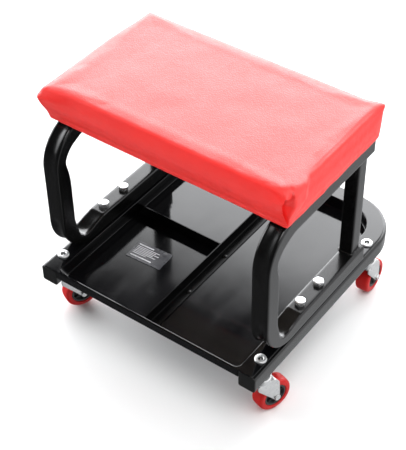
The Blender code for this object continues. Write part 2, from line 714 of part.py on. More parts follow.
def make_casters():
    """Four casters from one set of pieces. Each turns about an empty on its kingpin axis."""
    kinds = [("caster_screw", caster_screw(), ZINC, "kingpin"),
             ("caster_stud", caster_stud(), ZINC, "kingpin"),
             ("caster_fork", fork(), ZINC, "kingpin"),
             ("axle_bolt", axle_bolt(), ZINC, "axle"),
             ("axle_nut", axle_nut(), ZINC, "axle"),
             ("wheel_hub", wheel_hub(), HUB_PLASTIC, "axle"),
             ("wheel_tyre", tyre(), TYRE_RED, "axle")]
    for place, turn in CASTER_TURN.items():
        end, side = place.split("_")
        pivot = bpy.data.objects.new(f"kingpin_{place}", None)
        PARTS.objects.link(pivot)
        pivot.location = (SIDES[side] * TUBE_LINE_X, CASTER_Y[end], 0.0)
        pivot.rotation_euler.z = math.radians(turn)
        axle = bpy.data.objects.new(f"axle_{place}", None)
        PARTS.objects.link(axle)
        axle.parent = pivot
        axle.location = (CASTER_TRAIL, 0.0, WHEEL_RADIUS)
        for name, model, material, holder in kinds:
            piece = add_object(name, model.data, WORK)
            keep(piece, f"{name}_{place}", material)
            piece.parent = axle if holder == "axle" else pivot
    for _, model, _, _ in kinds:
        bpy.data.objects.remove(model, do_unlink=True)


# ---------------------------------------------------------------- build

clear_scene()
PARTS = make_collection(OBJECT_NAME)
WORK = make_collection("construction")

STEEL_BLACK = make_material("black_powder_coat", (0.012, 0.012, 0.013), 0.30)
CAP_PLASTIC = make_material("black_cap_plastic", (0.015, 0.015, 0.016), 0.45)
TRAY_PLASTIC = make_material("black_tray_gloss", (0.014, 0.014, 0.016), 0.22)
DIVIDER_STEEL = make_material("black_divider", (0.014, 0.014, 0.015), 0.28)
LABEL_FILM = make_material("grey_label_film", (0.16, 0.16, 0.18), 0.40)
VINYL = make_material("red_vinyl", (0.80, 0.035, 0.025), 0.38)
FOAM = make_material("cream_foam", (0.85, 0.80, 0.62), 0.95)
PLYWOOD = make_material("plywood", (0.55, 0.38, 0.22), 0.75)
ZINC = make_material("bright_zinc", (0.80, 0.81, 0.80), 0.22, 1.0)
HUB_PLASTIC = make_material("black_hub_plastic", (0.02, 0.02, 0.02), 0.50)
TYRE_RED = make_material("red_tyre", (0.62, 0.02, 0.015), 0.35)

make_base_tube()
make_tray()
make_dividers()
make_label()
for side_label in SIDES:
    make_side_frame(side_label)
make_frame_fasteners()
make_seat()
make_casters()
bpy.context.view_layer.update()
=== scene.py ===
"""Looks of the rolling creeper seat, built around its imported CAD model.

Metres, +Z up, in the CAD frame. The front, where the side frames bend, is -Y.
"""
import json
import math

import bmesh
import bpy
from mathutils import Matrix, Vector, noise


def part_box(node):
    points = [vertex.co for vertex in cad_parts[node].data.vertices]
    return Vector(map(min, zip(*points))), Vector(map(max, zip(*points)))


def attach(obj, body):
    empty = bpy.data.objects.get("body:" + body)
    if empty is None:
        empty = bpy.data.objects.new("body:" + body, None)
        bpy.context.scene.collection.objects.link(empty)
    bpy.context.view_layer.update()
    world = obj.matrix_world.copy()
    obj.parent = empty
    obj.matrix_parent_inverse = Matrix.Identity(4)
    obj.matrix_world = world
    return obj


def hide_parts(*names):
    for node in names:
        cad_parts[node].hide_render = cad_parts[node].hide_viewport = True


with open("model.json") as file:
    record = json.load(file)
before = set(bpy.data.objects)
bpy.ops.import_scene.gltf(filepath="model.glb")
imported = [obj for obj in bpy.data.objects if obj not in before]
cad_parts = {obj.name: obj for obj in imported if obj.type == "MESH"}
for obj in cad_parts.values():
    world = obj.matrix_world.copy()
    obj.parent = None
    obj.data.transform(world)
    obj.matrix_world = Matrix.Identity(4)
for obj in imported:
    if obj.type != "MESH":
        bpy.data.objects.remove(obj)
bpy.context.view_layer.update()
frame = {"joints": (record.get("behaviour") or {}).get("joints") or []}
scene = bpy.context.scene

TUBE = 0.025
TUBE_CORNER = 0.0032
LEG_TUBE = 0.020
FRAME_BEND = 0.0475             # centreline radius of the side frames' bends
BASE_BEND = 0.0575              # centreline radius of the base tube's corners
CAP_PLATE = 0.0017
GAP = 0.0003
TRAY_SHEET = 0.0018
TRAY_LEAN = 0.55                # how far the tray's front wall goes back for each metre down
SKIRT_DROP = 0.0120
TRAY_FRONT_RIM = 0.0033
SIDES = {"left": -1, "right": 1}
PLACES = ("front_left", "front_right", "rear_left", "rear_right")


# ---------------------------------------------------------------- view, floor and light

def make_camera():
    """Camera at the viewing angle of the catalogue picture: yaw, pitch and a slight roll."""
    target = Vector((0.01695, -0.07561, 0.19082))
    distance = 1.6027
    yaw = math.radians(36.75)
    pitch = math.radians(42.55)
    roll = math.radians(-0.88)
    forward = Vector((-math.sin(yaw) * math.cos(pitch), math.cos(yaw) * math.cos(pitch),
                      -math.sin(pitch)))
    right = forward.cross(Vector((0, 0, 1))).normalized()
    up = right.cross(forward)
    across = right * math.cos(roll) + up * math.sin(roll)
    upward = up * math.cos(roll) - right * math.sin(roll)
    turn = Matrix((across, upward, -forward)).transposed().to_4x4()
    data = bpy.data.cameras.new("camera")
    data.lens = 100.55
    data.sensor_width = 36.0
    data.sensor_fit = "AUTO"
    data.clip_end = 200.0
    data.shift_x = -0.0009
    data.shift_y = -0.0027
    camera = bpy.data.objects.new("camera", data)
    scene.collection.objects.link(camera)
    camera.matrix_world = Matrix.Translation(target - forward * distance) @ turn
    scene.camera = camera


def make_world():
    """A studio with a bright wall behind to the left, a dark ceiling and a pale ground."""
    world = bpy.data.worlds.new("studio")
    scene.world = world
    world.use_nodes = True
    tree = world.node_tree
    tree.nodes.clear()
    place = tree.nodes.new("ShaderNodeTexCoord")
    split = tree.nodes.new("ShaderNodeSeparateXYZ")
    tree.links.new(place.outputs["Generated"], split.inputs[0])

    def band(source, low, high, dark, bright):
        node = tree.nodes.new("ShaderNodeMapRange")
        node.interpolation_type = "SMOOTHSTEP"
        node.inputs["From Min"].default_value = low
        node.inputs["From Max"].default_value = high
        node.inputs["To Min"].default_value = dark
        node.inputs["To Max"].default_value = bright
        tree.links.new(source, node.inputs["Value"])
        return node.outputs["Result"]

    def arithmetic(operation, first, second):
        node = tree.nodes.new("ShaderNodeMath")
        node.operation = operation
        tree.links.new(first, node.inputs[0])
        if isinstance(second, (int, float)):
            node.inputs[1].default_value = second
        else:
            tree.links.new(second, node.inputs[1])
        return node.outputs[0]

    def facing(direction):
        node = tree.nodes.new("ShaderNodeVectorMath")
        node.operation = "DOT_PRODUCT"
        node.inputs[1].default_value = Vector(direction).normalized()
        tree.links.new(place.outputs["Generated"], node.inputs[0])
        return node.outputs["Value"]

    height = split.outputs["Z"]
    above_floor = band(height, -0.01, 0.02, 0.0, 1.0)
    edge = facing((-0.243, 0.0, 1.0))
    wall = arithmetic("ADD", band(edge, 0.755, 0.797, WALL_TOP, 0.0),
                      band(edge, 0.69, 0.76, WALL_FOOT, 0.0))
    wall = arithmetic("MULTIPLY", wall, band(facing((-0.8, 0.6, 0.0)), 0.16, 0.62, 0.0, 1.0))
    right = arithmetic("MULTIPLY", band(facing((0.80, 0.60, 0.0)), 0.30, 0.85, 0.0, SIDE_LIGHT),
                       band(height, 0.45, 0.80, 1.0, 0.0))
    upper = arithmetic("MULTIPLY", arithmetic("ADD", wall, right), above_floor)
    ground = arithmetic("MULTIPLY", band(facing((0.70, 0.71, 0.0)), -0.25, 0.60, GROUND_FRONT,
                                         GROUND_REAR), band(height, -0.01, 0.02, 1.0, 0.0))
    total = arithmetic("ADD", arithmetic("ADD", upper, ground), STUDIO_FILL)
    seen = tree.nodes.new("ShaderNodeLightPath").outputs["Is Camera Ray"]
    total = arithmetic("MAXIMUM", total, arithmetic("MULTIPLY", seen, BACKDROP))
    light = tree.nodes.new("ShaderNodeBackground")
    light.inputs["Color"].default_value = (0.97, 0.98, 1.0, 1.0)
    tree.links.new(total, light.inputs["Strength"])
    out = tree.nodes.new("ShaderNodeOutputWorld")
    tree.links.new(light.outputs[0], out.inputs["Surface"])


WALL_TOP = 6.2                  # brightness of the wall behind, near its upper edge
WALL_FOOT = 2.9                 # added lower down
SIDE_LIGHT = 1.65
GROUND_REAR = 0.74              # brightness of the ground as the gloss black pieces mirror it
GROUND_FRONT = 0.07
STUDIO_FILL = 0.05
BACKDROP = 1.5                  # the plain white behind the floor's far edge


def make_lights():
    """One large soft light overhead, a little to the front."""
    data = bpy.data.lights.new("overhead", "AREA")
    data.shape = "RECTANGLE"
    data.size = 1.6
    data.size_y = 1.2
    data.energy = 26.0
    lamp = bpy.data.objects.new("overhead", data)
    scene.collection.objects.link(lamp)
    place = Vector((0.75, -0.42, 1.9))
    lamp.matrix_world = Matrix.Translation(place) @ place.to_track_quat("Z", "Y").to_matrix().to_4x4()


def make_floor():
    body = bmesh.new()
    bmesh.ops.create_grid(body, x_segments=1, y_segments=1, size=60.0)
    mesh = bpy.data.meshes.new("floor")
    body.to_mesh(mesh)
    body.free()
    floor = bpy.data.objects.new("floor", mesh)
    scene.collection.objects.link(floor)
    kit = Shader("floor_white", (0.86, 0.86, 0.855), 0.7)
    kit.vary_colour(kit.noise(3.0, 2.0), (0.85, 0.85, 0.845), (0.87, 0.87, 0.865))
    floor.visible_glossy = False
    mesh.materials.append(kit.material)


# ---------------------------------------------------------------- materials

class Shader:
    """A Principled material with procedural detail in the piece's own coordinates."""

    def __init__(self, name, colour, roughness, metallic=0.0, **sockets):
        self.material = bpy.data.materials.new(name)
        self.material.use_nodes = True
        self.tree = self.material.node_tree
        self.shader = self.tree.nodes["Principled BSDF"]
        self.shader.inputs["Base Color"].default_value = (*colour, 1.0)
        self.shader.inputs["Roughness"].default_value = roughness
        self.shader.inputs["Metallic"].default_value = metallic
        for socket, value in sockets.items():
            self.shader.inputs[socket.replace("_", " ")].default_value = value
        self.material.diffuse_color = (*colour, 1.0)
        coordinates = self.tree.nodes.new("ShaderNodeTexCoord")
        self.place = coordinates.outputs["Object"]
        self.normal = coordinates.outputs["Normal"]

    def node(self, kind, **inputs):
        node = self.tree.nodes.new(kind)
        for name, value in inputs.items():
            socket = node.inputs[name.replace("_", " ")]
            if isinstance(value, bpy.types.NodeSocket):
                self.tree.links.new(value, socket)
            else:
                socket.default_value = value
        return node

    def stretched(self, scale):
        node = self.node("ShaderNodeMapping", Vector=self.place, Scale=scale)
        return node.outputs["Vector"]

    def noise(self, scale, detail=3.0, place=None, roughness=0.5):
        node = self.node("ShaderNodeTexNoise", Vector=place or self.place, Scale=scale,
                         Detail=detail, Roughness=roughness)
        return node.outputs["Fac"]

    def cells(self, scale, place=None, feature="F1"):
        node = self.node("ShaderNodeTexVoronoi", Vector=place or self.place, Scale=scale)
        node.feature = feature
        return node.outputs["Distance"]

    def spread(self, value, low, high, start=0.0, end=1.0):
        node = self.node("ShaderNodeMapRange", Value=value, From_Min=low, From_Max=high,
                         To_Min=start, To_Max=end)
        return node.outputs["Result"]

    def maths(self, operation, first, second):
        node = self.tree.nodes.new("ShaderNodeMath")
        node.operation = operation
        for socket, value in zip(node.inputs, (first, second)):
            if isinstance(value, bpy.types.NodeSocket):
                self.tree.links.new(value, socket)
            else:
                socket.default_value = value
        return node.outputs[0]

    def mix(self, factor, first, second):
        node = self.tree.nodes.new("ShaderNodeMix")
        node.data_type = "RGBA"
        sockets = [item for item in node.inputs if item.type == "RGBA"]
        if isinstance(factor, bpy.types.NodeSocket):
            self.tree.links.new(factor, node.inputs[0])
        else:
            node.inputs[0].default_value = factor
        for socket, value in zip(sockets, (first, second)):
            if isinstance(value, bpy.types.NodeSocket):
                self.tree.links.new(value, socket)
            else:
                socket.default_value = (*value, 1.0)
        return [item for item in node.outputs if item.type == "RGBA"][0]

    def vary_colour(self, factor, first, second):
        self.tree.links.new(self.mix(factor, first, second), self.shader.inputs["Base Color"])

    def vary_roughness(self, factor, low, high):
        self.tree.links.new(self.spread(factor, 0.3, 0.7, low, high),
                            self.shader.inputs["Roughness"])

    def bump(self, height, distance, strength=1.0):
        previous = self.shader.inputs["Normal"].links
        node = self.node("ShaderNodeBump", Height=height, Distance=distance, Strength=strength)
        if previous:
            self.tree.links.new(previous[0].from_socket, node.inputs["Normal"])
        self.tree.links.new(node.outputs["Normal"], self.shader.inputs["Normal"])


def powder_coat():
    """Gloss black powder coat: a fine orange peel, duller where it is handled."""
    kit = Shader("powder_coat_black", (0.003, 0.003, 0.003), 0.22, IOR=1.5)
    kit.vary_colour(kit.noise(55.0, 4.0), (0.0010, 0.0010, 0.0010), (0.0032, 0.0032, 0.0031))
    kit.vary_roughness(kit.noise(30.0, 5.0), 0.16, 0.26)
    kit.bump(kit.noise(620.0, 2.0), 0.000016)
    return kit.material


def cap_plastic():
    kit = Shader("cap_plastic_black", (0.007, 0.007, 0.007), 0.42)
    kit.vary_colour(kit.noise(80.0, 3.0), (0.004, 0.004, 0.004), (0.010, 0.010, 0.010))
    kit.vary_roughness(kit.noise(60.0, 4.0), 0.36, 0.48)
    kit.bump(kit.cells(2400.0), 0.00002)
    return kit.material


def tray_plastic():
    """Gloss black moulded tray with faint wipe marks and a few dust specks."""
    kit = Shader("tray_gloss_black", (0.0025, 0.0025, 0.003), 0.16, IOR=1.5)
    wipe = kit.noise(26.0, 5.0, kit.stretched((1.0, 0.25, 1.0)))
    kit.vary_roughness(wipe, 0.06, 0.13)
    speck = kit.spread(kit.cells(210.0), 0.05, 0.035)
    sparse = kit.spread(kit.noise(90.0, 1.0), 0.62, 0.66)
    kit.vary_colour(kit.maths("MULTIPLY", speck, sparse), (0.0025, 0.0025, 0.003),
                    (0.12, 0.12, 0.125))
    kit.bump(kit.noise(14.0, 2.0), 0.00014, 0.6)
    kit.bump(kit.noise(900.0, 1.0), 0.000006)
    return kit.material


def divider_steel():
    kit = Shader("divider_black", (0.0015, 0.0015, 0.0016), 0.20, IOR=1.28)
    kit.vary_colour(kit.noise(70.0, 4.0), (0.0008, 0.0008, 0.0009), (0.0024, 0.0024, 0.0026))
    kit.vary_roughness(kit.noise(45.0, 5.0), 0.15, 0.27)
    kit.bump(kit.noise(700.0, 2.0), 0.00003)
    return kit.material


def red_vinyl():
    """Red upholstery vinyl: a pebble grain in two sizes, glossy on the pebbles' tops, with painted shade:
    the faces turned downwards are coloured near black.
    """
    kit = Shader("vinyl_red", (0.80, 0.020, 0.016), 0.40, IOR=1.52)
    fine = kit.cells(1150.0, feature="SMOOTH_F1")
    coarse = kit.cells(520.0, kit.stretched((1.0, 1.35, 1.0)))
    cloud = kit.noise(16.0, 4.0)
    red = kit.mix(cloud, (0.74, 0.014, 0.012), (0.86, 0.027, 0.021))
    # Painted shade: where the face's normal points down, the red gives way to a near-black colour.
    facing = kit.node("ShaderNodeSeparateXYZ", Vector=kit.normal).outputs["Z"]
    kit.vary_colour(kit.spread(facing, -0.80, -0.92), red, (0.035, 0.030, 0.030))
    kit.vary_roughness(kit.noise(210.0, 3.0), 0.33, 0.46)
    kit.bump(kit.noise(9.0, 2.0, kit.stretched((1.4, 0.6, 1.0))), 0.0030, 0.6)
    kit.bump(kit.noise(34.0, 4.0, kit.stretched((1.0, 0.55, 1.0))), 0.0012, 0.6)
    kit.bump(coarse, 0.00024, 0.7)
    kit.bump(fine, 0.00010, 0.7)
    return kit.material


def bright_zinc(name, smoothest, roughest):
    """Bright zinc plate: cloudy, finely brushed, a little duller in patches."""
    kit = Shader(name, (0.66, 0.67, 0.67), 0.32, metallic=0.85)
    kit.vary_colour(kit.noise(160.0, 4.0), (0.54, 0.55, 0.56), (0.78, 0.78, 0.77))
    kit.vary_roughness(kit.noise(240.0, 4.0), smoothest, roughest)
    kit.bump(kit.noise(900.0, 3.0, kit.stretched((1.0, 1.0, 0.25))), 0.00002)
    return kit.material


def hub_plastic():
    kit = Shader("hub_plastic_black", (0.022, 0.022, 0.022), 0.48)
    kit.vary_colour(kit.noise(240.0, 3.0), (0.015, 0.015, 0.015), (0.032, 0.032, 0.032))
    kit.vary_roughness(kit.noise(120.0, 3.0), 0.40, 0.56)
    kit.bump(kit.noise(1500.0, 2.0), 0.00002)
    return kit.material


def red_tyre():
    """Cast red polyurethane: slightly waxy, with fine scuffs round the tread."""
    kit = Shader("tyre_red", (0.50, 0.005, 0.004), 0.42, IOR=1.32)
    kit.vary_colour(kit.noise(130.0, 4.0), (0.44, 0.003, 0.003), (0.56, 0.008, 0.006))
    kit.vary_roughness(kit.noise(320.0, 4.0), 0.36, 0.50)
    kit.bump(kit.noise(700.0, 3.0), 0.00003)
    return kit.material


def plywood():
    """Plywood: long grain on the face and dark plies along the edge."""
    kit = Shader("plywood_raw", (0.24, 0.19, 0.145), 0.75)
    grain = kit.noise(42.0, 6.0, kit.stretched((0.10, 1.0, 1.0)), 0.62)
    kit.vary_colour(kit.spread(grain, 0.30, 0.72), (0.17, 0.13, 0.095), (0.32, 0.26, 0.20))
    kit.bump(kit.noise(240.0, 4.0, kit.stretched((0.08, 1.0, 1.0))), 0.0002, 0.6)
    return kit.material


def label_film():
    kit = Shader("label_grey", (0.017, 0.017, 0.022), 0.24)
    kit.vary_colour(kit.noise(260.0, 2.0), (0.013, 0.013, 0.018), (0.022, 0.022, 0.028))
    kit.vary_roughness(kit.noise(120.0, 2.0), 0.18, 0.30)
    return kit.material


def label_ink():
    kit = Shader("label_pale", (0.55, 0.55, 0.57), 0.5)
    kit.vary_colour(kit.noise(900.0, 2.0), (0.42, 0.42, 0.44), (0.62, 0.62, 0.64))
    return kit.material


# ---------------------------------------------------------------- mesh building

def mesh_of(name, points, faces):
    """A welded mesh with its faces turned outwards."""
    mesh = bpy.data.meshes.new(name)
    mesh.from_pydata([tuple(point) for point in points], [], faces)
    body = bmesh.new()
    body.from_mesh(mesh)
    bmesh.ops.remove_doubles(body, verts=body.verts, dist=0.0000008)
    bmesh.ops.dissolve_degenerate(body, edges=body.edges, dist=0.0000004)
    bmesh.ops.recalc_face_normals(body, faces=body.faces)
    body.to_mesh(mesh)
    body.free()
    return mesh


def piece(name, mesh, material, body, stands_for, sharp=38.0):
    """Put a finished mesh in the scene, riding on its body in place of its CAD nodes."""
    mesh.name = name
    mesh.materials.clear()
    mesh.materials.append(material)
    mesh.shade_smooth()
    mesh.set_sharp_from_angle(angle=math.radians(sharp))
    item = bpy.data.objects.new(name, mesh)
    scene.collection.objects.link(item)
    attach(item, body)
    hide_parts(*stands_for)
    return item


def joined(name, meshes):
    """One mesh of several closed shells."""
    body = bmesh.new()
    for mesh in meshes:
        body.from_mesh(mesh)
    result = bpy.data.meshes.new(name)
    body.to_mesh(result)
    body.free()
    return result


def moved(mesh, matrix):
    copy = mesh.copy()
    copy.transform(matrix)
    return copy


def loft(rings, close_ends=True, around=False):
    """Skin a row of closed rings. around joins the last ring to the first."""
    count = len(rings[0])
    points = [point for ring in rings for point in ring]
    faces = []
    spans = len(rings) if around else len(rings) - 1
    for i in range(spans):
        here = i * count
        there = ((i + 1) % len(rings)) * count
        for j in range(count):
            k = (j + 1) % count
            faces.append((here + j, here + k, there + k, there + j))
    if close_ends and not around:
        for ring, start in ((rings[0], 0), (rings[-1], (len(rings) - 1) * count)):
            middle = sum((Vector(point) for point in ring), Vector()) / count
            points.append(middle)
            hub = len(points) - 1
            faces += [(hub, start + j, start + (j + 1) % count) for j in range(count)]
    return mesh_of("loft", points, faces)


def revolve(profile, steps, closed=False):
    """Turn (radius, height) points about Z. Without closed, both ends lie on the axis."""
    rings = []
    for radius, height in profile:
        turn = [2 * math.pi * i / steps for i in range(steps)]
        rings.append([(radius * math.cos(a), radius * math.sin(a), height) for a in turn])
    return loft(rings, close_ends=not closed, around=closed)


def arc(centre, radius, start, end, steps):
    turn = [math.radians(start + (end - start) * i / steps) for i in range(steps + 1)]
    return [(centre[0] + radius * math.cos(a), centre[1] + radius * math.sin(a)) for a in turn]


def softened(profile, radius, steps=3):
    """Round the corners of an open line of 2-D points, leaving its two ends."""
    points = [Vector(point) for point in profile]
    result = [tuple(points[0])]
    for before, here, after in zip(points, points[1:], points[2:]):
        inward = before - here
        onward = after - here
        reach = min(radius, inward.length * 0.45, onward.length * 0.45)
        if reach < 0.00002:
            result.append(tuple(here))
            continue
        first = here + inward.normalized() * reach
        last = here + onward.normalized() * reach
        for i in range(steps + 1):
            t = i / steps
            result.append(tuple(first * (1 - t) ** 2 + here * 2 * t * (1 - t) + last * t * t))
    result.append(tuple(points[-1]))
    return result


def square_section(width, corner, flats=9, steps=5):
    """Points round a square with arc corners, counted the same on every side."""
    half = width / 2
    reach = half - corner
    side = [(half, -reach + 2 * reach * i / flats) for i in range(flats + 1)]
    side += arc((reach, reach), corner, 0, 90, steps)[1:-1]
    ring = []
    for quarter in range(4):
        c, s = ((1, 0), (0, 1), (-1, 0), (0, -1))[quarter]
        ring += [(c * u - s * v, s * u + c * v) for u, v in side]
    return ring


def smooth(value):
    t = min(max(value, 0.0), 1.0)
    return t * t * (3 - 2 * t)


def slope_at(table, index, column):
    """Slope of a column at one of its rows, level at the ends and at every turning point."""
    if index in (0, len(table) - 1):
        return 0.0
    before, here, after = table[index - 1:index + 2]
    rise = (here[column] - before[column]) / (here[0] - before[0])
    go_on = (after[column] - here[column]) / (after[0] - here[0])
    if rise * go_on <= 0.0:
        return 0.0
    return 2 * rise * go_on / (rise + go_on)


def along(table, where):
    """Smooth values at a place from rows of (place, value, ...), without overshoot."""
    if where <= table[0][0]:
        return table[0][1:]
    if where >= table[-1][0]:
        return table[-1][1:]
    index = max(number for number, row in enumerate(table) if row[0] <= where)
    first = table[index]
    second = table[index + 1]
    span = second[0] - first[0]
    t = (where - first[0]) / span
    values = []
    for column in range(1, len(first)):
        start = slope_at(table, index, column) * span
        end = slope_at(table, index + 1, column) * span
        values.append(first[column] * (2 * t ** 3 - 3 * t ** 2 + 1)
                      + second[column] * (3 * t ** 2 - 2 * t ** 3)
                      + start * (t ** 3 - 2 * t ** 2 + t) + end * (t ** 3 - t ** 2))
    return values


def bent_path(corners, radius, fine=0.0022, coarse=0.012):
    """Stations along a flat line with quarter bends, all turning clockwise.

    Each station is (distance, place, outward). Also returns the distance where each bend starts.
    """
    stations = []
    starts = []
    travelled = 0.0
    previous = Vector(corners[0])
    for index in range(1, len(corners)):
        here = Vector(corners[index])
        direction = (here - Vector(corners[index - 1])).normalized()
        outward = Vector((-direction.y, direction.x))
        is_last = index == len(corners) - 1
        end = here if is_last else here - direction * radius
        length = (end - previous).length
        place = 0.0
        while place < length - 0.0005:
            stations.append((travelled + place, previous + direction * place, outward))
            near_bend = ((index > 1 and place < 0.024) or (not is_last and length - place < 0.034))
            place += fine if near_bend else coarse
        travelled += length
        if is_last:
            stations.append((travelled, end, outward))
            break
        starts.append(travelled)
        centre = end - outward * radius
        steps = round(radius * math.pi / 2 / fine)
        for i in range(steps):
            angle = math.radians(90.0 * i / steps)
            turned = Vector((outward.x * math.cos(angle) + outward.y * math.sin(angle),
                             outward.y * math.cos(angle) - outward.x * math.sin(angle)))
            stations.append((travelled + radius * angle, centre + turned * radius, turned))
        travelled += radius * math.pi / 2
        previous = here + Vector((direction.y, -direction.x)) * radius
    return stations, starts


# ---------------------------------------------------------------- side frames

# Dents that bending left in the tube's inner wall: distance from the bend's start, depth of the
# wall's two edges, depth along its middle.
DENT_FOOT = ((-0.0190, 0.0, 0.0), (-0.0165, 0.0007, 0.0011), (0.0, 0.0040, 0.0048),
             (0.0140, 0.0086, 0.0094), (0.0230, 0.0110, 0.0118), (0.0300, 0.0100, 0.0108),
             (0.0480, 0.0020, 0.0026), (0.0640, 0.0, 0.0))
DENT_HEAD = ((-0.0320, 0.0, 0.0), (-0.0120, 0.0016, 0.0026), (0.0, 0.0040, 0.0060),
             (0.0125, 0.0064, 0.0092), (0.0300, 0.0040, 0.0062), (0.0540, 0.0, 0.0))
GROOVE_FOOT = 0.0030            # hollow along the outer wall of the lower bend
GROOVE_HEAD = 0.0013


def side_tube_mesh(side_name, head_dent):
    side = SIDES[side_name]
    low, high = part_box(f"side_tube_{side_name}")
    run_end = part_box(f"run_cap_{side_name}")[1].y - CAP_PLATE
    rail_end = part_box(f"rail_cap_{side_name}")[1].y - CAP_PLATE
    x = (low.x + high.x) / 2
    front = low.y + TUBE / 2
    run_z = low.z + TUBE / 2
    rail_z = high.z - TUBE / 2
    stations, starts = bent_path([(run_end, run_z), (front, run_z), (front, rail_z),
                                  (rail_end, rail_z)], FRAME_BEND)
    bend = FRAME_BEND * math.pi / 2
    half = TUBE / 2
    flat = half - TUBE_CORNER
    section = square_section(TUBE, TUBE_CORNER)
    rings = []
    for distance, place, outward in stations:
        edge, middle = along(DENT_FOOT, distance - starts[0])
        edge_head, middle_head = along(DENT_HEAD, distance - starts[1])
        edge += edge_head * head_dent
        middle += middle_head * head_dent
        groove = 0.0
        for start, deep in zip(starts, (GROOVE_FOOT, GROOVE_HEAD)):
            inside = min(distance - start + 0.010, start + bend + 0.012 - distance)
            groove = max(groove, deep * smooth(inside / 0.014))
        ring = []
        for u, v in section:
            inner_share = (half - v) / TUBE
            shift = edge * inner_share
            hollow = math.cos(math.pi / 2 * min(abs(u) / flat, 1.0))
            if v < -flat:
                shift += (middle - edge) * hollow ** 0.8
            if v > flat:
                shift -= groove * hollow ** 1.5
            bulge = 1.0 + 0.05 * min(edge / 0.008, 1.0) * smooth(inner_share * 1.6)
            bulge = min(bulge, (BASE_REACH - abs(x)) / half) if u * side > 0 else bulge
            flat_place = place + outward * (v + shift)
            ring.append((x + u * bulge, flat_place.x, flat_place.y))
        rings.append(ring)
    return loft(rings)


def leg_mesh(low, high):
    """Straight square tube with softened corners."""
    centre = (low + high) / 2
    section = square_section(LEG_TUBE, TUBE_CORNER * 0.85, 4, 5)
    heights = [low.z, low.z + (high.z - low.z) * 0.5, high.z]
    return loft([[(centre.x + u, centre.y + v, z) for u, v in section] for z in heights])


def weld_mesh(centre, height, up, seed):
    """Rippled weld bead round the end of a square leg."""
    outline = square_section(LEG_TUBE, TUBE_CORNER * 0.85, 14, 5)
    rings = []
    count = len(outline)
    for index, (u, v) in enumerate(outline):
        before = Vector(outline[index - 1])
        after = Vector(outline[(index + 1) % count])
        tangent = (after - before).normalized()
        outward = Vector((tangent.y, -tangent.x))
        wave = 0.5 + 0.5 * math.sin(index * 2.3 + seed)
        lump = noise.noise(Vector((u * 260, v * 260, seed)))
        radius = 0.0019 + 0.0003 * wave + 0.0003 * lump
        ring = []
        for step in range(10):
            angle = 2 * math.pi * step / 10
            reach = radius * math.cos(angle)
            rise = radius * 0.85 * math.sin(angle)
            spot = Vector((u, v)) + outward * reach
            ring.append((centre.x + spot.x, centre.y + spot.y, height + up * (0.0004 + rise)))
        rings.append(ring)
    return loft(rings, around=True)


def cap_mesh(width, thick):
    """End cap plate with a rounded face, lying on Z = 0 and facing +Z."""
    round_edge = 0.0010
    rings = []
    for inset, height in ((0.0, 0.0), (0.0, thick - round_edge), (0.0003, thick - 0.0004),
                          (0.0007, thick - 0.0001), (0.0012, thick), (0.0060, thick)):
        ring = square_section(width - 2 * inset, max(TUBE_CORNER - inset, 0.0008), 4, 5)
        rings.append([(u, v, height) for u, v in ring])
    return loft(rings)


def make_side_frames(coat, plastic):
    for side_name in SIDES:
        head_dent = 1.15 if side_name == "left" else 1.0
        tube = side_tube_mesh(side_name, head_dent)
        piece(f"shown_side_tube_{side_name}", tube, coat, "frame",
              [f"side_tube_{side_name}"])
        low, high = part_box(f"rear_leg_{side_name}")
        centre = (low + high) / 2
        leg = leg_mesh(low, high)
        piece(f"shown_rear_leg_{side_name}", leg, coat, "frame",
              [f"rear_leg_{side_name}"])
        for end, height, up in (("foot", low.z, 1), ("head", high.z, -1)):
            bead = weld_mesh(centre, height, up, 3.0 + SIDES[side_name] + up * 0.7)
            piece(f"weld_{end}_{side_name}", bead, coat, "frame", [])
        for kind, facing in (("run", (0, 1, 0)), ("rail", (0, 1, 0)), ("base", (0, -1, 0))):
            node = f"{kind}_cap_{side_name}"
            low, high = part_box(node)
            outer = high.y if facing[1] > 0 else low.y
            place = Vector(((low.x + high.x) / 2, outer - facing[1] * CAP_PLATE,
                            (low.z + high.z) / 2))
            turn = Vector((0, 0, 1)).rotation_difference(Vector(facing)).to_matrix().to_4x4()
            mesh = moved(cap_mesh(TUBE, CAP_PLATE), Matrix.Translation(place) @ turn)
            piece(f"shown_{node}", mesh, plastic, "frame", [node])


# ---------------------------------------------------------------- base tube and tray

def make_base_tube(coat):
    low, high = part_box("base_tube")
    x = high.x - TUBE / 2
    height = (low.z + high.z) / 2
    stations, _ = bent_path([(-x, low.y), (-x, high.y - TUBE / 2), (x, high.y - TUBE / 2),
                             (x, low.y)], BASE_BEND)
    section = square_section(TUBE, TUBE_CORNER, 5, 5)
    rings = []
    for _, place, outward in stations:
        rings.append([(*(place + outward * v), height + u) for u, v in section])
    piece("shown_base_tube", loft(rings), coat, "frame", ["base_tube"])


def plan_ring(half_width, front, rear, front_corner, rear_corner, skirt_reach):
    """Points round the tray in plan, counted the same for every ring, with a break in the
    front edge where the skirt starts on either side."""
    reach = min(skirt_reach, half_width - front_corner - 0.0004)
    right = [(reach * i / 10, front) for i in range(11)]
    right += [(reach + 0.0002, front)]
    right += arc((half_width - front_corner, front + front_corner), front_corner, -90, 0, 8)
    start = front + front_corner
    end = rear - rear_corner
    right += [(half_width, start + (end - start) * i / 12) for i in range(1, 12)]
    right += arc((half_width - rear_corner, rear - rear_corner), rear_corner, 0, 90, 18)
    inner = half_width - rear_corner
    right += [(inner * (1 - i / 6), rear) for i in range(1, 7)]
    left = [(-px, py) for px, py in reversed(right[1:-1])]
    return right + left


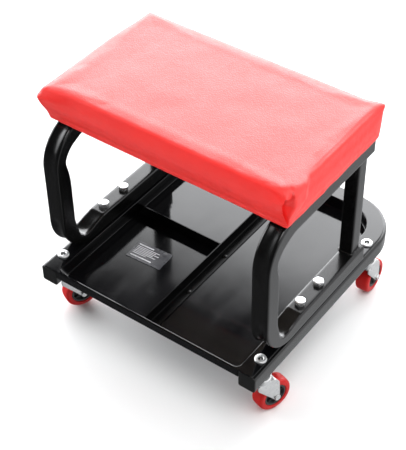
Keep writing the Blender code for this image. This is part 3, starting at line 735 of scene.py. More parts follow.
def tray_mesh():
    low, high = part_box("tool_tray")
    rim_top = high.z
    floor_top = low.z + TRAY_SHEET
    base_low, base_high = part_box("base_tube")
    pocket = base_high.x - TUBE - GAP
    pocket_rear = base_high.y - TUBE - GAP
    pocket_front = low.y + TRAY_FRONT_RIM
    rim_corner = 0.003
    rim_rear_corner = BASE_BEND + TUBE / 2 - (base_high.x - high.x)
    pocket_corner = BASE_BEND - TUBE / 2 - GAP - TRAY_SHEET
    front_corner = 0.0085

    def outer(inset, height, skirt_height=None):
        ring = plan_ring(high.x - inset, low.y + inset, high.y - inset,
                         max(rim_corner - inset, 0.0006), rim_rear_corner - inset, pocket)
        points = []
        for px, py in ring:
            on_skirt = py < low.y + inset + 0.0001 and abs(px) <= pocket + 0.0001
            z = skirt_height if (skirt_height is not None and on_skirt) else height
            points.append((px, py, z))
        return points

    def inner(inset, depth, sheet=0.0):
        """Ring of the pocket wall, set in by inset and depth below the rim."""
        z = rim_top - depth
        lean = TRAY_LEAN * depth
        front = pocket_front + inset + lean - sheet * 0.7
        ring = plan_ring(pocket - TRAY_SHEET - inset + sheet, front,
                         pocket_rear - TRAY_SHEET - inset + sheet,
                         max(front_corner - inset + sheet, 0.0008),
                         max(pocket_corner - inset + sheet, 0.002), pocket)
        return [(px, py, z) for px, py in ring]

    depth = rim_top - floor_top
    round_rim = 0.0007
    round_floor = 0.0008
    rings = []
    for step in range(4, -1, -1):
        angle = math.radians(90 * step / 4)
        rings.append(outer(0.0008 * (1 - math.cos(angle)),
                           rim_top - 0.0008 * (1 - math.sin(angle))))
    rings.reverse()
    rings = rings[::-1]
    top = [outer(0.0008, rim_top), outer(0.0012, rim_top), inner(-round_rim - 0.0004, 0.0)]
    for step in range(5):
        angle = math.radians(90 * step / 4)
        reach = round_rim * (1 - math.sin(angle))
        top.append(inner(-reach, round_rim * (1 - math.cos(angle))))
    top.append(inner(0.0, depth * 0.5))
    for step in range(6):
        angle = math.radians(90 * step / 5)
        top.append(inner(round_floor * (1 - math.cos(angle)),
                         depth - round_floor * (1 - math.sin(angle))))
    for inset in (round_floor + 0.0003, round_floor + 0.0008, 0.010, 0.040):
        top.append(inner(inset, depth))

    edge = rim_top - TRAY_SHEET
    skirt = rim_top - SKIRT_DROP
    under = [outer(0.0, edge + 0.0002, skirt + 0.0002), outer(0.0003, edge, skirt),
             outer(TRAY_SHEET, edge, skirt), outer(TRAY_SHEET + 0.0001, edge, edge)]
    under.append(inner(0.0, TRAY_SHEET, TRAY_SHEET))
    under.append(inner(0.0, depth - 0.001, TRAY_SHEET))
    under.append(inner(0.002, depth + TRAY_SHEET, TRAY_SHEET))
    under.append(inner(0.040, depth + TRAY_SHEET, TRAY_SHEET))
    return loft(list(reversed(top)) + list(rings) + under)


def folded_sheet(wall_height, foot, sheet):
    """Profile of a folded L sheet, (across, height), wall at 0 and foot towards +."""
    half = sheet / 2
    bend = 0.0010
    line = [(-half, wall_height), (-half, bend + sheet)]
    line += arc((-half + bend + sheet, bend + sheet), bend + sheet, 180, 270, 6)[1:]
    line += [(foot, 0.0), (foot, sheet)]
    line += arc((-half + bend + sheet, bend + sheet), bend, 270, 180, 6)
    line += [(half, wall_height)]
    return line


def make_dividers(steel):
    low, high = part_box("long_divider")
    cross_low, cross_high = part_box("cross_divider")
    sheet = 0.0012
    foot = high.x - low.x - sheet / 2
    profile = folded_sheet(high.z - low.z, foot, sheet)
    rings = []
    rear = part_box("tool_tray")[1].z
    x = low.x + sheet / 2
    for y in (low.y, -0.150, -0.07, 0.02, 0.09, high.y):
        ring = []
        for across, height in profile:
            z = low.z + height
            lean = TRAY_LEAN * (rear - z) - TRAY_LEAN * (rear - high.z) if y == low.y else 0.0
            ring.append((x + across, y + lean, z))
        rings.append(ring)
    piece("shown_long_divider", loft(rings), steel, "frame", ["long_divider"])

    foot = cross_high.y - cross_low.y - sheet / 2
    profile = folded_sheet(cross_high.z - cross_low.z, foot, sheet)
    y = cross_low.y + sheet / 2
    rings = []
    for x in (cross_low.x, -0.10, -0.05, cross_high.x):
        rings.append([(x, y + across, cross_low.z + height) for across, height in profile])
    piece("shown_cross_divider", loft(rings), steel, "frame", ["cross_divider"])

    for number in (1, 2):
        node = f"divider_rivet_{number}"
        low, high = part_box(node)
        radius = (high.x - low.x) / 2
        rise = high.z - low.z
        dome = [(0.0008, rise)] + arc((0.0, 0.0), 1.0, 75, 12, 8) + [(1.0, 0.0)]
        dome = [(0.0, 0.0), (radius, 0.0)] + [(radius * c, rise * s) for c, s in
                                             arc((0.0, 0.0), 1.0, 8, 88, 9)]
        mesh = moved(revolve(dome, 32), Matrix.Translation(((low.x + high.x) / 2,
                                                            (low.y + high.y) / 2, low.z)))
        piece(f"shown_{node}", mesh, steel, "frame", [node], 60)


def flat_slab(wide, deep, thick, corner):
    """Thin plate with rounded corners and a softened top edge, centred on Z."""
    rings = []
    for inset, height in ((0.0, 0.0), (0.0, thick * 0.6), (thick * 0.35, thick)):
        ring = []
        for cx, cy, start in ((1, 1, 0), (-1, 1, 90), (-1, -1, 180), (1, -1, 270)):
            centre = (cx * (wide / 2 - corner), cy * (deep / 2 - corner))
            ring += arc(centre, max(corner - inset, 0.0001), start, start + 90, 4)
        rings.append([(px, py, height) for px, py in ring])
    return loft(rings)


def make_label(film, ink):
    """Blank film label: pale bars stand where print would be."""
    low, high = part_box("floor_label")
    centre = (low + high) / 2
    turn = Matrix.Translation((centre.x, centre.y, low.z)) @ Matrix.Rotation(math.radians(3), 4, "Z")
    label = moved(flat_slab(0.056, 0.034, 0.0004, 0.0012), turn)
    piece("shown_floor_label", label, film, "frame", ["floor_label"])
    bars = []
    rows = ((0.0115, -0.012, 0.024, 0.0022), (0.0075, -0.006, 0.036, 0.0011),
            (0.0048, -0.008, 0.032, 0.0011), (0.0021, -0.005, 0.038, 0.0011),
            (-0.0006, -0.009, 0.030, 0.0011), (-0.0033, -0.006, 0.036, 0.0011),
            (-0.0060, -0.013, 0.022, 0.0011), (-0.0112, -0.007, 0.034, 0.0018))
    for down, across, wide, deep in rows:
        bar = flat_slab(wide, deep, 0.00006, deep * 0.3)
        bars.append(moved(bar, turn @ Matrix.Translation((across, down, 0.00042))))
    piece("label_bars", joined("label_bars", bars), ink, "frame", [])


# ---------------------------------------------------------------- bolts, nuts and screws

def hex_radius(flats, angle, corner=0.03):
    """Distance from a hexagon's middle to its side, with the corners a little blunt."""
    sector = (angle + math.pi / 6) % (math.pi / 3) - math.pi / 6
    return flats / 2 / math.cos(sector) * (1 - corner * smooth((abs(sector) - 0.46) / 0.0636))


def hex_rings(flats, base, top, chamfer_base=False, steps=96):
    """Rings of a hexagon from base to top whose top, and base, edges are turned to a cone."""
    turn = [2 * math.pi * i / steps for i in range(steps)]
    tip = flats / 2 * 0.985
    up = 1 if top > base else -1

    def side(end, inward):
        ring = []
        for a in turn:
            radius = hex_radius(flats, a)
            drop = max(radius - tip, 0.0) * 0.45
            ring.append((radius * math.cos(a), radius * math.sin(a), end - inward * drop))
        return ring

    def circle(radius, height):
        return [(radius * math.cos(a), radius * math.sin(a), height) for a in turn]

    rings = []
    if chamfer_base:
        rings += [circle(tip * 0.985, base), circle(tip, base + up * 0.00003), side(base, -up)]
    else:
        rings += [side(base, 0)]
    rings += [side(top, up), circle(tip, top - up * 0.00003), circle(tip * 0.985, top)]
    return rings


def bolt_mesh(flats, shank, head_base, head_top, shank_end, pitch=0.00125):
    """Hexagon bolt along Z: chamfered head, plain shank and a threaded end."""
    up = 1 if head_top > head_base else -1
    head = hex_rings(flats, head_base, head_top)
    steps = len(head[0])
    turn = [2 * math.pi * i / steps for i in range(steps)]

    def circle(radius, height):
        return [(radius * math.cos(a), radius * math.sin(a), height) for a in turn]

    rings = [circle(0.0004, head_top), circle(flats * 0.3, head_top)]
    rings += list(reversed(head))
    rings.append(circle(shank, head_base))
    length = abs(head_base - shank_end)
    threaded = min(length * 0.5, 0.022)
    rings.append(circle(shank, head_base - up * (length - threaded)))
    place = length - threaded
    while place + pitch < length - 0.0008:
        rings.append(circle(shank, head_base - up * place))
        rings.append(circle(shank * 0.86, head_base - up * (place + pitch / 2)))
        place += pitch
    rings.append(circle(shank * 0.95, head_base - up * (length - 0.0008)))
    rings.append(circle(shank * 0.80, shank_end))
    return loft(rings)


def nut_mesh(flats, bore, base, top):
    """Hexagon nut along Z, turned to a cone at both ends, with a countersunk bore."""
    rings = hex_rings(flats, base, top, chamfer_base=True)
    steps = len(rings[0])
    turn = [2 * math.pi * i / steps for i in range(steps)]
    up = 1 if top > base else -1
    for radius, height in ((bore + 0.0005, top), (bore, top - up * 0.0005),
                           (bore, base + up * 0.0005), (bore + 0.0005, base)):
        rings.append([(radius * math.cos(a), radius * math.sin(a), height) for a in turn])
    return loft(rings, around=True)


def washer_mesh(inner, outer, base, thick):
    profile = softened([(inner, base + thick), (outer, base + thick), (outer, base), (inner, base),
                        (inner, base + thick * 0.9)], thick * 0.3)
    return revolve(profile, 48, closed=True)


def make_frame_fasteners(zinc, bolt_zinc):
    for side_name in SIDES:
        for place in ("front", "rear"):
            node = f"frame_bolt_{place}_{side_name}"
            nut = f"frame_nut_{place}_{side_name}"
            low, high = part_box(node)
            nut_low, nut_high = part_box(nut)
            centre = Vector(((low.x + high.x) / 2, (low.y + high.y) / 2, 0.0))
            head_base = high.z - 0.0053
            turn = math.radians(17 if place == "front" else 41)
            spot = Matrix.Translation(centre) @ Matrix.Rotation(turn, 4, "Z")
            mesh = moved(bolt_mesh(0.0130, 0.0040, head_base, high.z, low.z), spot)
            piece(f"shown_{node}", mesh, bolt_zinc, "frame", [node])
            mesh = moved(nut_mesh(0.0130, 0.0042, nut_low.z, nut_high.z), spot)
            piece(f"shown_{nut}", mesh, zinc, "frame", [nut])
            node = f"seat_screw_{place}_{side_name}"
            low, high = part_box(node)
            centre = Vector(((low.x + high.x) / 2, (low.y + high.y) / 2, 0.0))
            mesh = bolt_mesh(0.0100, 0.0030, low.z + 0.0040, low.z, high.z, 0.0011)
            mesh = moved(mesh, Matrix.Translation(centre))
            piece(f"shown_{node}", mesh, zinc, "frame", [node])


def pan_screw_mesh(seat, top, tip):
    """Pan head screw with a hexagon socket, down from the tray rim to the caster."""
    radius = 0.0080
    height = top - seat
    steps = 96
    turn = [2 * math.pi * i / steps for i in range(steps)]

    def circle(reach, z):
        return [(reach * math.cos(a), reach * math.sin(a), z) for a in turn]

    rings = [circle(0.0040, tip), circle(0.0040, seat), circle(radius - 0.0002, seat),
             circle(radius, seat + height * 0.15)]
    for across, rise in arc((0.0, 0.0), 1.0, 12, 78, 7):
        rings.append(circle(radius * (0.80 + 0.20 * across), seat + height * (0.15 + 0.85 * rise)))
    socket = 0.0066
    rings += [circle(radius * 0.79, top), circle(0.0041, top), circle(0.0038, top - 0.0003)]
    for z in (top - 0.0006, seat - 0.0008):
        rings.append([(hex_radius(socket, a) * math.cos(a), hex_radius(socket, a) * math.sin(a), z)
                      for a in turn])
    rings += [circle(0.0013, seat - 0.0010), circle(0.0011, seat + 0.0006), circle(0.0004, seat + 0.0008)]
    return loft(rings)


# ---------------------------------------------------------------- casters

def boolean(mesh, other, operation):
    """Exact boolean of two meshes."""
    first = bpy.data.objects.new("first", mesh)
    second = bpy.data.objects.new("second", other)
    scene.collection.objects.link(first)
    scene.collection.objects.link(second)
    step = first.modifiers.new(operation, "BOOLEAN")
    step.operation = operation
    step.solver = "EXACT"
    step.object = second
    bpy.context.view_layer.update()
    graph = bpy.context.evaluated_depsgraph_get()
    result = bpy.data.meshes.new_from_object(first.evaluated_get(graph))
    bpy.data.objects.remove(first, do_unlink=True)
    bpy.data.objects.remove(second, do_unlink=True)
    return result


def extruded(outline, low, high, edge, steps=3):
    """An (x, z) outline given thickness along Y, with its edges rounded."""
    rings = []
    points = [Vector(point) for point in outline]
    count = len(points)
    normals = []
    for index in range(count):
        tangent = points[(index + 1) % count] - points[index - 1]
        normals.append(Vector((tangent.y, -tangent.x)).normalized())
    area = sum(points[i - 1].x * points[i].y - points[i].x * points[i - 1].y for i in range(count))
    sign = 1 if area > 0 else -1
    levels = []
    for step in range(steps + 1):
        angle = math.radians(90 * step / steps)
        levels.append((edge * (1 - math.sin(angle)), low + edge * (1 - math.cos(angle))))
    levels += [(inset, high - (y - low)) for inset, y in reversed(levels)]
    for inset, y in levels:
        ring = [point - normal * sign * inset for point, normal in zip(points, normals)]
        rings.append([(point.x, y, point.y) for point in ring])
    return loft(rings)


def resampled(outline, step):
    """Points about a step apart along a closed outline, keeping its own points."""
    result = []
    for index, point in enumerate(outline):
        here = Vector(point)
        there = Vector(outline[(index + 1) % len(outline)])
        count = max(1, round((there - here).length / step))
        result += [tuple(here + (there - here) * i / count) for i in range(count)]
    return result


def round_corners(outline, radius, steps=5):
    """Round every corner of a closed outline."""
    ring = [outline[-1]] + list(outline) + [outline[0]]
    return softened(ring, radius, steps)[1:-1]


def fork_mesh(trail, crown_top, crown_bottom, axle_height, width):
    """Pressed fork: two triangular cheeks with round ears, a bridge and a raised crown."""
    sheet = 0.0016
    crown = 0.0140
    ear = 0.0048
    outline = [(crown + 0.001, crown_bottom), (-crown + 0.002, crown_bottom),
               (-crown + 0.002, crown_bottom - 0.007)]
    outline += arc((trail, axle_height), ear, 200, 370, 16)
    outline += [(trail + ear - 0.0012, crown_bottom - 0.0100), (crown + 0.004, crown_bottom - 0.0035)]
    smooth_outline = round_corners(outline, 0.0022)
    half = width / 2
    bracket = extruded(resampled(smooth_outline, 0.0012), -half, half, 0.0006)
    room = [(-0.05, crown_bottom - sheet), (0.05, crown_bottom - sheet), (0.05, -0.01),
            (-0.05, -0.01)]
    room = extruded(room, -half + sheet, half - sheet, 0.0)
    bracket = boolean(bracket, room, "DIFFERENCE")
    profile = [(0.0, crown_top), (crown - 0.001, crown_top), (crown, crown_top - 0.001),
               (crown, crown_bottom - 0.0002), (crown - 0.003, crown_bottom - sheet / 2),
               (0.0, crown_bottom - sheet / 2)]
    profile = [(0.0001, crown_top)] + softened(profile, 0.0008)[1:-1] + [(0.0001, crown_bottom - sheet / 2)]
    bracket = boolean(bracket, revolve(profile, 64), "UNION")
    hole = [(0.0001, crown_bottom - 0.01), (0.0063, crown_bottom - 0.01),
            (0.0063, crown_top + 0.01), (0.0001, crown_top + 0.01)]
    bracket = boolean(bracket, revolve(hole, 48), "DIFFERENCE")
    axle = revolve([(0.0001, -0.03), (0.0033, -0.03), (0.0033, 0.03), (0.0001, 0.03)], 40)
    axle.transform(Matrix.Translation((trail, 0, axle_height)) @ Matrix.Rotation(math.pi / 2, 4, "X"))
    return boolean(bracket, axle, "DIFFERENCE")


def stud_mesh(race_top, race_bottom, foot_top):
    bore = 0.0043
    race = 0.0146
    stem = 0.0060
    foot = foot_top - 0.0016
    profile = [(bore, race_top), (race - 0.0012, race_top), (race, race_top - 0.0012),
               (race, race_bottom), (stem, race_bottom), (stem, foot_top), (stem + 0.0022, foot_top),
               (stem + 0.0012, foot), (bore, foot)]
    ring = softened([profile[-1]] + profile + [profile[0]], 0.0005)[1:-1]
    return revolve(ring, 64, closed=True)


def hub_mesh():
    """Black hub: a recessed web with ribs on both sides and a lip under the tyre."""
    half = 0.010
    bore = 0.0033
    core = 0.0062
    rim = 0.0150
    lip = 0.0164
    right = [(bore, half + 0.0006), (core, half + 0.0006), (core + 0.0003, half - 0.0046),
             (rim - 0.0022, half - 0.0052), (rim - 0.0010, half - 0.0009), (lip, half - 0.0009)]
    profile = right + [(radius, -across) for radius, across in reversed(right)]
    ring = softened([profile[-1]] + profile + [profile[0]], 0.0006)[1:-1]
    shells = [revolve(ring, 72, closed=True)]
    for side in (1, -1):
        for number in range(6):
            outline = [(core - 0.0004, -0.0006), (rim - 0.0016, -0.0006), (rim - 0.0016, 0.0006),
                       (core - 0.0004, 0.0006)]
            rings = []
            for height in (half - 0.0058, half - 0.0014):
                rings.append([(px, py * (1.0 if height < 0.006 else 0.7), side * height)
                              for px, py in outline])
            shells.append(moved(loft(rings), Matrix.Rotation(math.radians(60 * number + 30), 4, "Z")))
    return joined("hub", shells)


def tyre_mesh(radius):
    """Solid tyre with rounded shoulders, a slightly crowned tread and a fine mould line."""
    half = 0.010
    inner = 0.0168
    shoulder = 0.0042
    right = arc((radius - shoulder - 0.0002, half - shoulder), shoulder, 88, 10, 9)
    tread = [(radius - 0.00002, 0.0030), (radius, 0.0006), (radius, 0.0002)]
    right = [(inner, half - 0.0008), (inner + 0.0008, half)] + right + tread
    profile = right + [(reach, -across) for reach, across in reversed(right)]
    return revolve(profile, 96, closed=True)


def make_casters(zinc, plastic, rubber):
    joints = {joint["name"]: joint for joint in frame["joints"]}
    models = {}
    for place in PLACES:
        kingpin = Vector(joints[f"swivel_{place}"]["pos_m"])
        axle = Vector(joints[f"roll_{place}"]["pos_m"])
        offset = Vector((axle.x - kingpin.x, axle.y - kingpin.y, 0.0))
        turn = math.atan2(offset.y, offset.x)
        base = Matrix.Translation((kingpin.x, kingpin.y, 0.0)) @ Matrix.Rotation(turn, 4, "Z")
        stud_low, stud_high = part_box(f"caster_stud_{place}")
        fork_low, fork_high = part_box(f"caster_fork_{place}")
        tyre_low, tyre_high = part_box(f"wheel_tyre_{place}")
        radius = (tyre_high.z - tyre_low.z) / 2
        if not models:
            trail = offset.length
            crown_bottom = fork_high.z - 0.0038
            width = 0.0252
            reach = width / 2 + GAP
            on_axle = Matrix.Translation((trail, 0.0, radius)) @ Matrix.Rotation(math.pi / 2, 4, "X")
            models["fork"] = fork_mesh(trail, fork_high.z, crown_bottom, radius, width)
            models["stud"] = stud_mesh(stud_high.z, fork_high.z + GAP, stud_low.z + 0.0016)
            models["hub"] = moved(hub_mesh(), on_axle)
            models["tyre"] = moved(tyre_mesh(radius), on_axle)
            models["bolt"] = moved(bolt_mesh(0.0080, 0.0030, reach, reach + 0.0018,
                                             -width / 2 - 0.0042, 0.001), on_axle)
            models["nut"] = moved(nut_mesh(0.0080, 0.0032, -reach - 0.0032, -reach), on_axle)
            screw_low, screw_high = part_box(f"caster_screw_{place}")
            models["screw"] = pan_screw_mesh(screw_high.z - 0.0026, screw_high.z, screw_low.z)
        plan = (("caster_fork", "fork", zinc, "bright_zinc", "caster"),
                ("caster_stud", "stud", zinc, "bright_zinc", "frame"),
                ("caster_screw", "screw", zinc, "bright_zinc", "frame"),
                ("axle_bolt", "bolt", zinc, "bright_zinc", "caster"),
                ("axle_nut", "nut", zinc, "bright_zinc", "caster"),
                ("wheel_hub", "hub", plastic, "hub_plastic", "wheel"),
                ("wheel_tyre", "tyre", rubber, "red_tyre", "wheel"))
        for kind, model, material, slot, holder in plan:
            body = "frame" if holder == "frame" else f"{holder}_{place}"
            piece(f"shown_{kind}_{place}", moved(models[model], base), material, body,
                  [f"{kind}_{place}"])


# ---------------------------------------------------------------- seat

def seat_block_mesh(low, high, corner, edge):
    """Closed block with rounded corners in plan and a rounded top edge."""
    rings = []
    levels = [(0.0, low.z), (0.0, (low.z + high.z) / 2), (0.0, high.z - edge)]
    levels += [(edge * (1 - math.cos(a)), high.z - edge * (1 - math.sin(a)))
               for a in (math.radians(d) for d in (22, 45, 68, 90))]
    for inset, z in levels:
        radius = max(corner - inset, 0.001)
        ring = []
        for cx, cy, start in ((1, 1, 0), (-1, 1, 90), (-1, -1, 180), (1, -1, 270)):
            centre_x = high.x - inset - radius if cx > 0 else low.x + inset + radius
            centre_y = high.y - inset - radius if cy > 0 else low.y + inset + radius
            ring += arc((centre_x, centre_y), radius, start, start + 90, 6)
        rings.append([(px, py, z) for px, py in ring])
    return loft(rings)


def evaluated(item):
    graph = bpy.context.evaluated_depsgraph_get()
    graph.update()
    return bpy.data.meshes.new_from_object(item.evaluated_get(graph))


def inflate(item, held_below, cap):
    """Cloth under pressure. Vertices below a height are held, and no point moves past the cap."""
    rest = [vertex.co.copy() for vertex in item.data.vertices]
    group = item.vertex_groups.new(name="held")
    for vertex in item.data.vertices:
        weight = 1.0 if vertex.co.z < held_below else 0.0
        group.add([vertex.index], weight, "REPLACE")
    cloth = item.modifiers.new("cloth", "CLOTH")
    cloth.settings.vertex_group_mass = "held"
    cloth.settings.use_pressure = True
    cloth.settings.uniform_pressure_force = 4.0
    cloth.settings.effector_weights.gravity = 0.0
    cloth.settings.quality = 6
    cloth.point_cache.frame_start = 1
    cloth.point_cache.frame_end = 20
    for number in range(1, 21):
        scene.frame_set(number)
    mesh = evaluated(item)
    moves = [vertex.co - start for vertex, start in zip(mesh.vertices, rest)]
    item.modifiers.remove(cloth)
    scene.frame_set(1)
    for vertex, start, move in zip(item.data.vertices, rest, moves):
        length = move.length
        if length > 0.0:
            move = move * (cap * math.tanh(length / cap) / length)
        vertex.co = start + move


def crown(item, low, high):
    """Quick stand-in for the cloth: the same swelling as a plain function."""
    for vertex in item.data.vertices:
        co = vertex.co
        up = smooth((co.z - low.z - 0.010) / 0.020)
        across = 1 - ((co.x - (low.x + high.x) / 2) / ((high.x - low.x) / 2)) ** 4
        deep = 1 - ((co.y - (low.y + high.y) / 2) / ((high.y - low.y) / 2)) ** 4
        if co.z > high.z - 0.002:
            co.z += 0.0022 * max(across, 0.0) * max(deep, 0.0)
        side = math.sin(math.pi * smooth((co.z - low.z) / (high.z - low.z)))
        if co.x > high.x - 0.004:
            co.x += 0.0018 * side
        if co.x < low.x + 0.004:
            co.x -= 0.0018 * side
        if co.y < low.y + 0.004:
            co.y -= 0.0012 * side * up


def line_value(rows, where):
    """Straight-line value at a place from (place, value) rows in rising order."""
    if where <= rows[0][0]:
        return rows[0][1]
    for (a, first), (b, second) in zip(rows, rows[1:]):
        if where <= b:
            return first + (second - first) * (where - a) / (b - a)
    return rows[-1][1]


def ramp(value):
    return min(max(value, 0.0), 1.0)


# Lines of the tucked corner, as rows of height above the seat's underside and distance round
# the corner from its edge, positive along the right face.
PLEAT_LINE = ((0.004, 0.0007), (0.0135, -0.0023), (0.025, -0.0053), (0.037, -0.0064),
              (0.044, -0.0041))
LIP_LINE = ((0.004, 0.0012), (0.006, 0.0019), (0.019, 0.0045), (0.031, 0.0110), (0.042, 0.0125))
RIDGE_LINE = ((0.002, 0.0), (0.013, 0.0044), (0.0175, 0.0258), (0.028, 0.0409), (0.0465, 0.0474))
POCKET_DEPTH = ((0.003, 0.0), (0.008, 0.0020), (0.020, 0.0070), (0.030, 0.0110), (0.037, 0.0105),
                (0.0430, 0.0050), (0.0475, 0.0))


def fold_front_right(co, low, high):
    """Tucked corner: a pleat at the front, a deep pocket beside it and a puffed fold behind."""
    round_x = co.x - high.x
    round_y = co.y - low.y
    if round_x < -0.070 or round_y > 0.075:
        return
    around = round_x + round_y
    z = co.z - low.z
    reach = max(-round_x, 0.0) + max(round_y, 0.0)
    near = smooth(1 - (reach - 0.030) / 0.045)
    corner = smooth(1 - reach / 0.032)
    co.z -= 0.0044 * corner ** 1.5 * smooth((z - 0.036) / 0.012)
    pleat = line_value(PLEAT_LINE, z)
    lip = line_value(LIP_LINE, z)
    deep = line_value(POCKET_DEPTH, z)
    inside = (around - pleat) / max(lip - pleat, 0.0005)
    is_side = round_x > -0.0150 and round_y < 0.020
    if is_side and 0.0 < inside < 1.0:
        hollow = smooth(inside / 0.10) * smooth((1 - inside) / 0.85)
        co.x -= deep * hollow * 0.90
        co.y += deep * hollow * 0.38
    if is_side and inside <= 0.0:
        swell = math.exp(-(around - pleat) ** 2 / (2 * 0.004 ** 2))
        fade = smooth(z / 0.012) * smooth((0.046 - z) / 0.006)
        co.y -= 0.0012 * swell * fade
        co.x += 0.0010 * swell * fade
    if round_x > -0.014 and inside >= 0.7 and z > 0.004:
        puff = smooth((line_value(RIDGE_LINE, z) - round_y) / 0.016)
        top = smooth((z - 0.006) / 0.030)
        fade = smooth(round_x / 0.012 + 1.2)
        co.x += 0.0040 * puff * top * fade * near


def fold_front_left(co, low, high):
    """The upper corner stands out over the board's corner."""
    round_x = co.x - low.x
    round_y = co.y - low.y
    if round_x > 0.055 or round_y > 0.055:
        return
    reach = max(round_x, 0.0) + max(round_y, 0.0)
    near = smooth(1 - reach / 0.046)
    z = co.z - low.z
    rise = ramp((z - 0.001) / 0.034) * (1 - 0.45 * smooth((z - 0.037) / 0.011))
    co.x -= 0.0050 * near * rise
    co.y -= 0.0070 * near * rise
    co.z -= 0.0030 * near * smooth((z - 0.036) / 0.010)


def fold_rear_right(co, low, high):
    """The corner leans out towards its top and ends in a small point."""
    round_x = high.x - co.x
    round_y = high.y - co.y
    if round_x > 0.05 or round_y > 0.05:
        return
    reach = max(round_x, 0.0) + max(round_y, 0.0)
    near = smooth(1 - reach / 0.030)
    rise = ramp((co.z - low.z - 0.004) / 0.042)
    co.x += 0.0012 * near * rise
    co.y += 0.0044 * near * rise
    point = smooth(1 - reach / 0.010) * smooth((co.z - low.z - 0.036) / 0.010)
    co.x += 0.0012 * point
    co.y += 0.0008 * point


def crease_edges(co, low, high):
    """Shallow valley inside the right top edge, tension dimples and hem puckers."""
    z = co.z - low.z
    thick = high.z - low.z
    left = smooth(1 - (co.x - low.x) / 0.030) * smooth((high.y - co.y) / 0.090)
    co.x -= 0.0050 * left * smooth((z - 0.008) / 0.030)
    valley = math.exp(-((co.x - high.x + 0.0042) ** 2) / (2 * 0.0010 ** 2))
    span = smooth((co.y - low.y - 0.045) / 0.02) * smooth((high.y - 0.006 - co.y) / 0.02)
    if z > thick - 0.010:
        co.z -= 0.0009 * valley * span
    edge = min(co.x - low.x, high.x - co.x, co.y - low.y, high.y - co.y)
    co.z += 0.0009 * smooth(1 - (edge - 0.003) / 0.024) * smooth((z - thick + 0.014) / 0.009)
    front_face = smooth(1 - (co.y - low.y) / 0.007)
    co.y -= 0.0042 * front_face * smooth((z - 0.006) / 0.026) * (1 - 0.85 * smooth((z - 0.035) / 0.013))
    hem = smooth(1 - z / 0.020) * smooth(z / 0.003)
    wave = noise.noise(Vector((co.x * 62, co.y * 62, 4.7)))
    ripple = noise.noise(Vector((co.x * 150, co.y * 150, 9.1)))
    push = 0.0009 * hem * wave + 0.0004 * hem * ripple
    if co.y < low.y + 0.010:
        co.y += push
    if co.y > high.y - 0.010:
        co.y -= push
    if co.x > high.x - 0.010:
        co.x -= push
    if co.x < low.x + 0.010:
        co.x += push
    if z > thick - 0.004:
        co.z += 0.00035 * noise.noise(Vector((co.x * 26, co.y * 26, 2.2)))


def refine(mesh, inside, rounds):
    """Split the faces whose middle passes the test."""
    body = bmesh.new()
    body.from_mesh(mesh)
    for _ in range(rounds):
        faces = [face for face in body.faces if inside(face.calc_center_median())]
        edges = list({edge for face in faces for edge in face.edges})
        bmesh.ops.subdivide_edges(body, edges=edges, cuts=1, use_grid_fill=True)
    body.to_mesh(mesh)
    body.free()


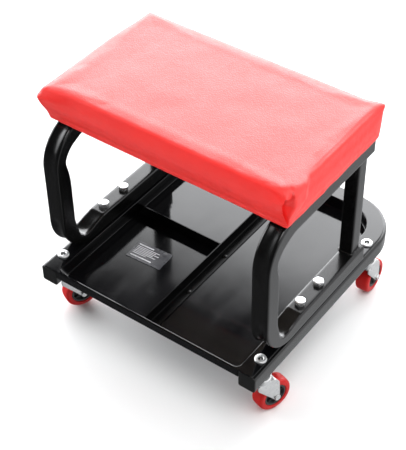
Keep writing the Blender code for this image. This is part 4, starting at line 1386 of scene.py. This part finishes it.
def make_seat(vinyl, wood, zinc):
    low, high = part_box("seat_cover")
    start_low = low + Vector((-0.0010, -0.0004, 0.0))
    start_high = high + Vector((0.0006, 0.0012, 0.0008))
    block = bpy.data.objects.new("cushion_block", seat_block_mesh(start_low, start_high, 0.003, 0.0024))
    scene.collection.objects.link(block)
    remesh = block.modifiers.new("remesh", "REMESH")
    remesh.mode = "VOXEL"
    remesh.voxel_size = 0.0032
    remesh.use_smooth_shade = True
    bpy.context.view_layer.update()
    cushion = bpy.data.objects.new("cushion_work", evaluated(block))
    scene.collection.objects.link(cushion)
    bpy.data.objects.remove(block, do_unlink=True)
    inflate(cushion, low.z + 0.010, 0.0010)
    step = cushion.modifiers.new("finer", "SUBSURF")
    step.levels = 1
    step.render_levels = 1
    mesh = evaluated(cushion)
    bpy.data.objects.remove(cushion, do_unlink=True)
    mesh.name = "seat"

    def at_front_right(co):
        return co.x > high.x - 0.030 and co.y < low.y + 0.034 and co.z > low.z

    def at_front_left(co):
        return co.x < low.x + 0.030 and co.y < low.y + 0.030 and co.z > low.z

    refine(mesh, at_front_right, 2)
    refine(mesh, at_front_left, 1)
    for vertex in mesh.vertices:
        fold_front_right(vertex.co, low, high)
        fold_front_left(vertex.co, low, high)
        fold_rear_right(vertex.co, low, high)
        crease_edges(vertex.co, low, high)

    window = 0.026
    body = bmesh.new()
    body.from_mesh(mesh)
    gone = []
    for face in body.faces:
        co = face.calc_center_median()
        if (co.z < low.z + 0.003 and low.x + window < co.x < high.x - window
                and low.y + window < co.y < high.y - window):
            gone.append(face)
    bmesh.ops.delete(body, geom=gone, context="FACES")
    for vertex in body.verts:
        if vertex.co.z < low.z:
            vertex.co.z = low.z
    body.to_mesh(mesh)
    body.free()
    seat = piece("seat_cushion", mesh, vinyl, "frame", ["seat_cover", "seat_foam"], 75)
    skin = seat.modifiers.new("skin", "SOLIDIFY")
    skin.thickness = 0.0010
    skin.offset = -1.0

    board_low, board_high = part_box("seat_board")
    corner = 0.0095
    rings = []
    for inset, z in ((0.0030, board_low.z), (0.0021, board_low.z + 0.0004),
                     (0.0018, board_low.z + 0.0012), (0.0018, board_high.z - 0.0010),
                     (0.0028, board_high.z)):
        ring = []
        for cx, cy, turn in ((1, 1, 0), (-1, 1, 90), (-1, -1, 180), (1, -1, 270)):
            centre = (cx * (board_high.x - corner),
                      (board_high.y - corner) if cy > 0 else (board_low.y + corner))
            ring += arc(centre, corner - inset, turn, turn + 90, 6)
        rings.append([(px, py, z) for px, py in ring])
    piece("shown_seat_board", loft(rings), wood, "frame", ["seat_board"])

    staples = []
    bar = flat_slab(0.0105, 0.0012, 0.0007, 0.0005)
    flip = Matrix.Rotation(math.pi, 4, "X")
    inset = 0.017
    for index in range(11):
        x = low.x + 0.030 + (high.x - low.x - 0.060) * index / 10
        for y in (low.y + inset, high.y - inset):
            lean = 0.10 * math.sin(index * 2.1 + y * 40)
            spot = Matrix.Translation((x, y, low.z)) @ Matrix.Rotation(lean, 4, "Z") @ flip
            staples.append(moved(bar, spot))
    for index in range(5):
        y = low.y + 0.040 + (high.y - low.y - 0.080) * index / 4
        for x in (low.x + inset * 0.45, high.x - inset * 0.45):
            spot = Matrix.Translation((x, y, low.z)) @ Matrix.Rotation(math.pi / 2, 4, "Z") @ flip
            staples.append(moved(bar, spot))
    piece("seat_staples", joined("staples", staples), zinc, "frame", [])


# ---------------------------------------------------------------- build

BASE_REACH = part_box("base_tube")[1].x

make_camera()
make_world()
make_lights()
make_floor()
COAT = powder_coat()
CAP = cap_plastic()
ZINC = bright_zinc("zinc_bright", 0.26, 0.42)
BOLT_ZINC = bright_zinc("zinc_bolt", 0.14, 0.28)
make_base_tube(COAT)
piece("shown_tool_tray", tray_mesh(), tray_plastic(), "frame", ["tool_tray"], 32)
make_dividers(divider_steel())
make_label(label_film(), label_ink())
make_side_frames(COAT, CAP)
make_frame_fasteners(ZINC, BOLT_ZINC)
make_casters(ZINC, hub_plastic(), red_tyre())
make_seat(red_vinyl(), plywood(), ZINC)

scene.view_settings.view_transform = "Standard"
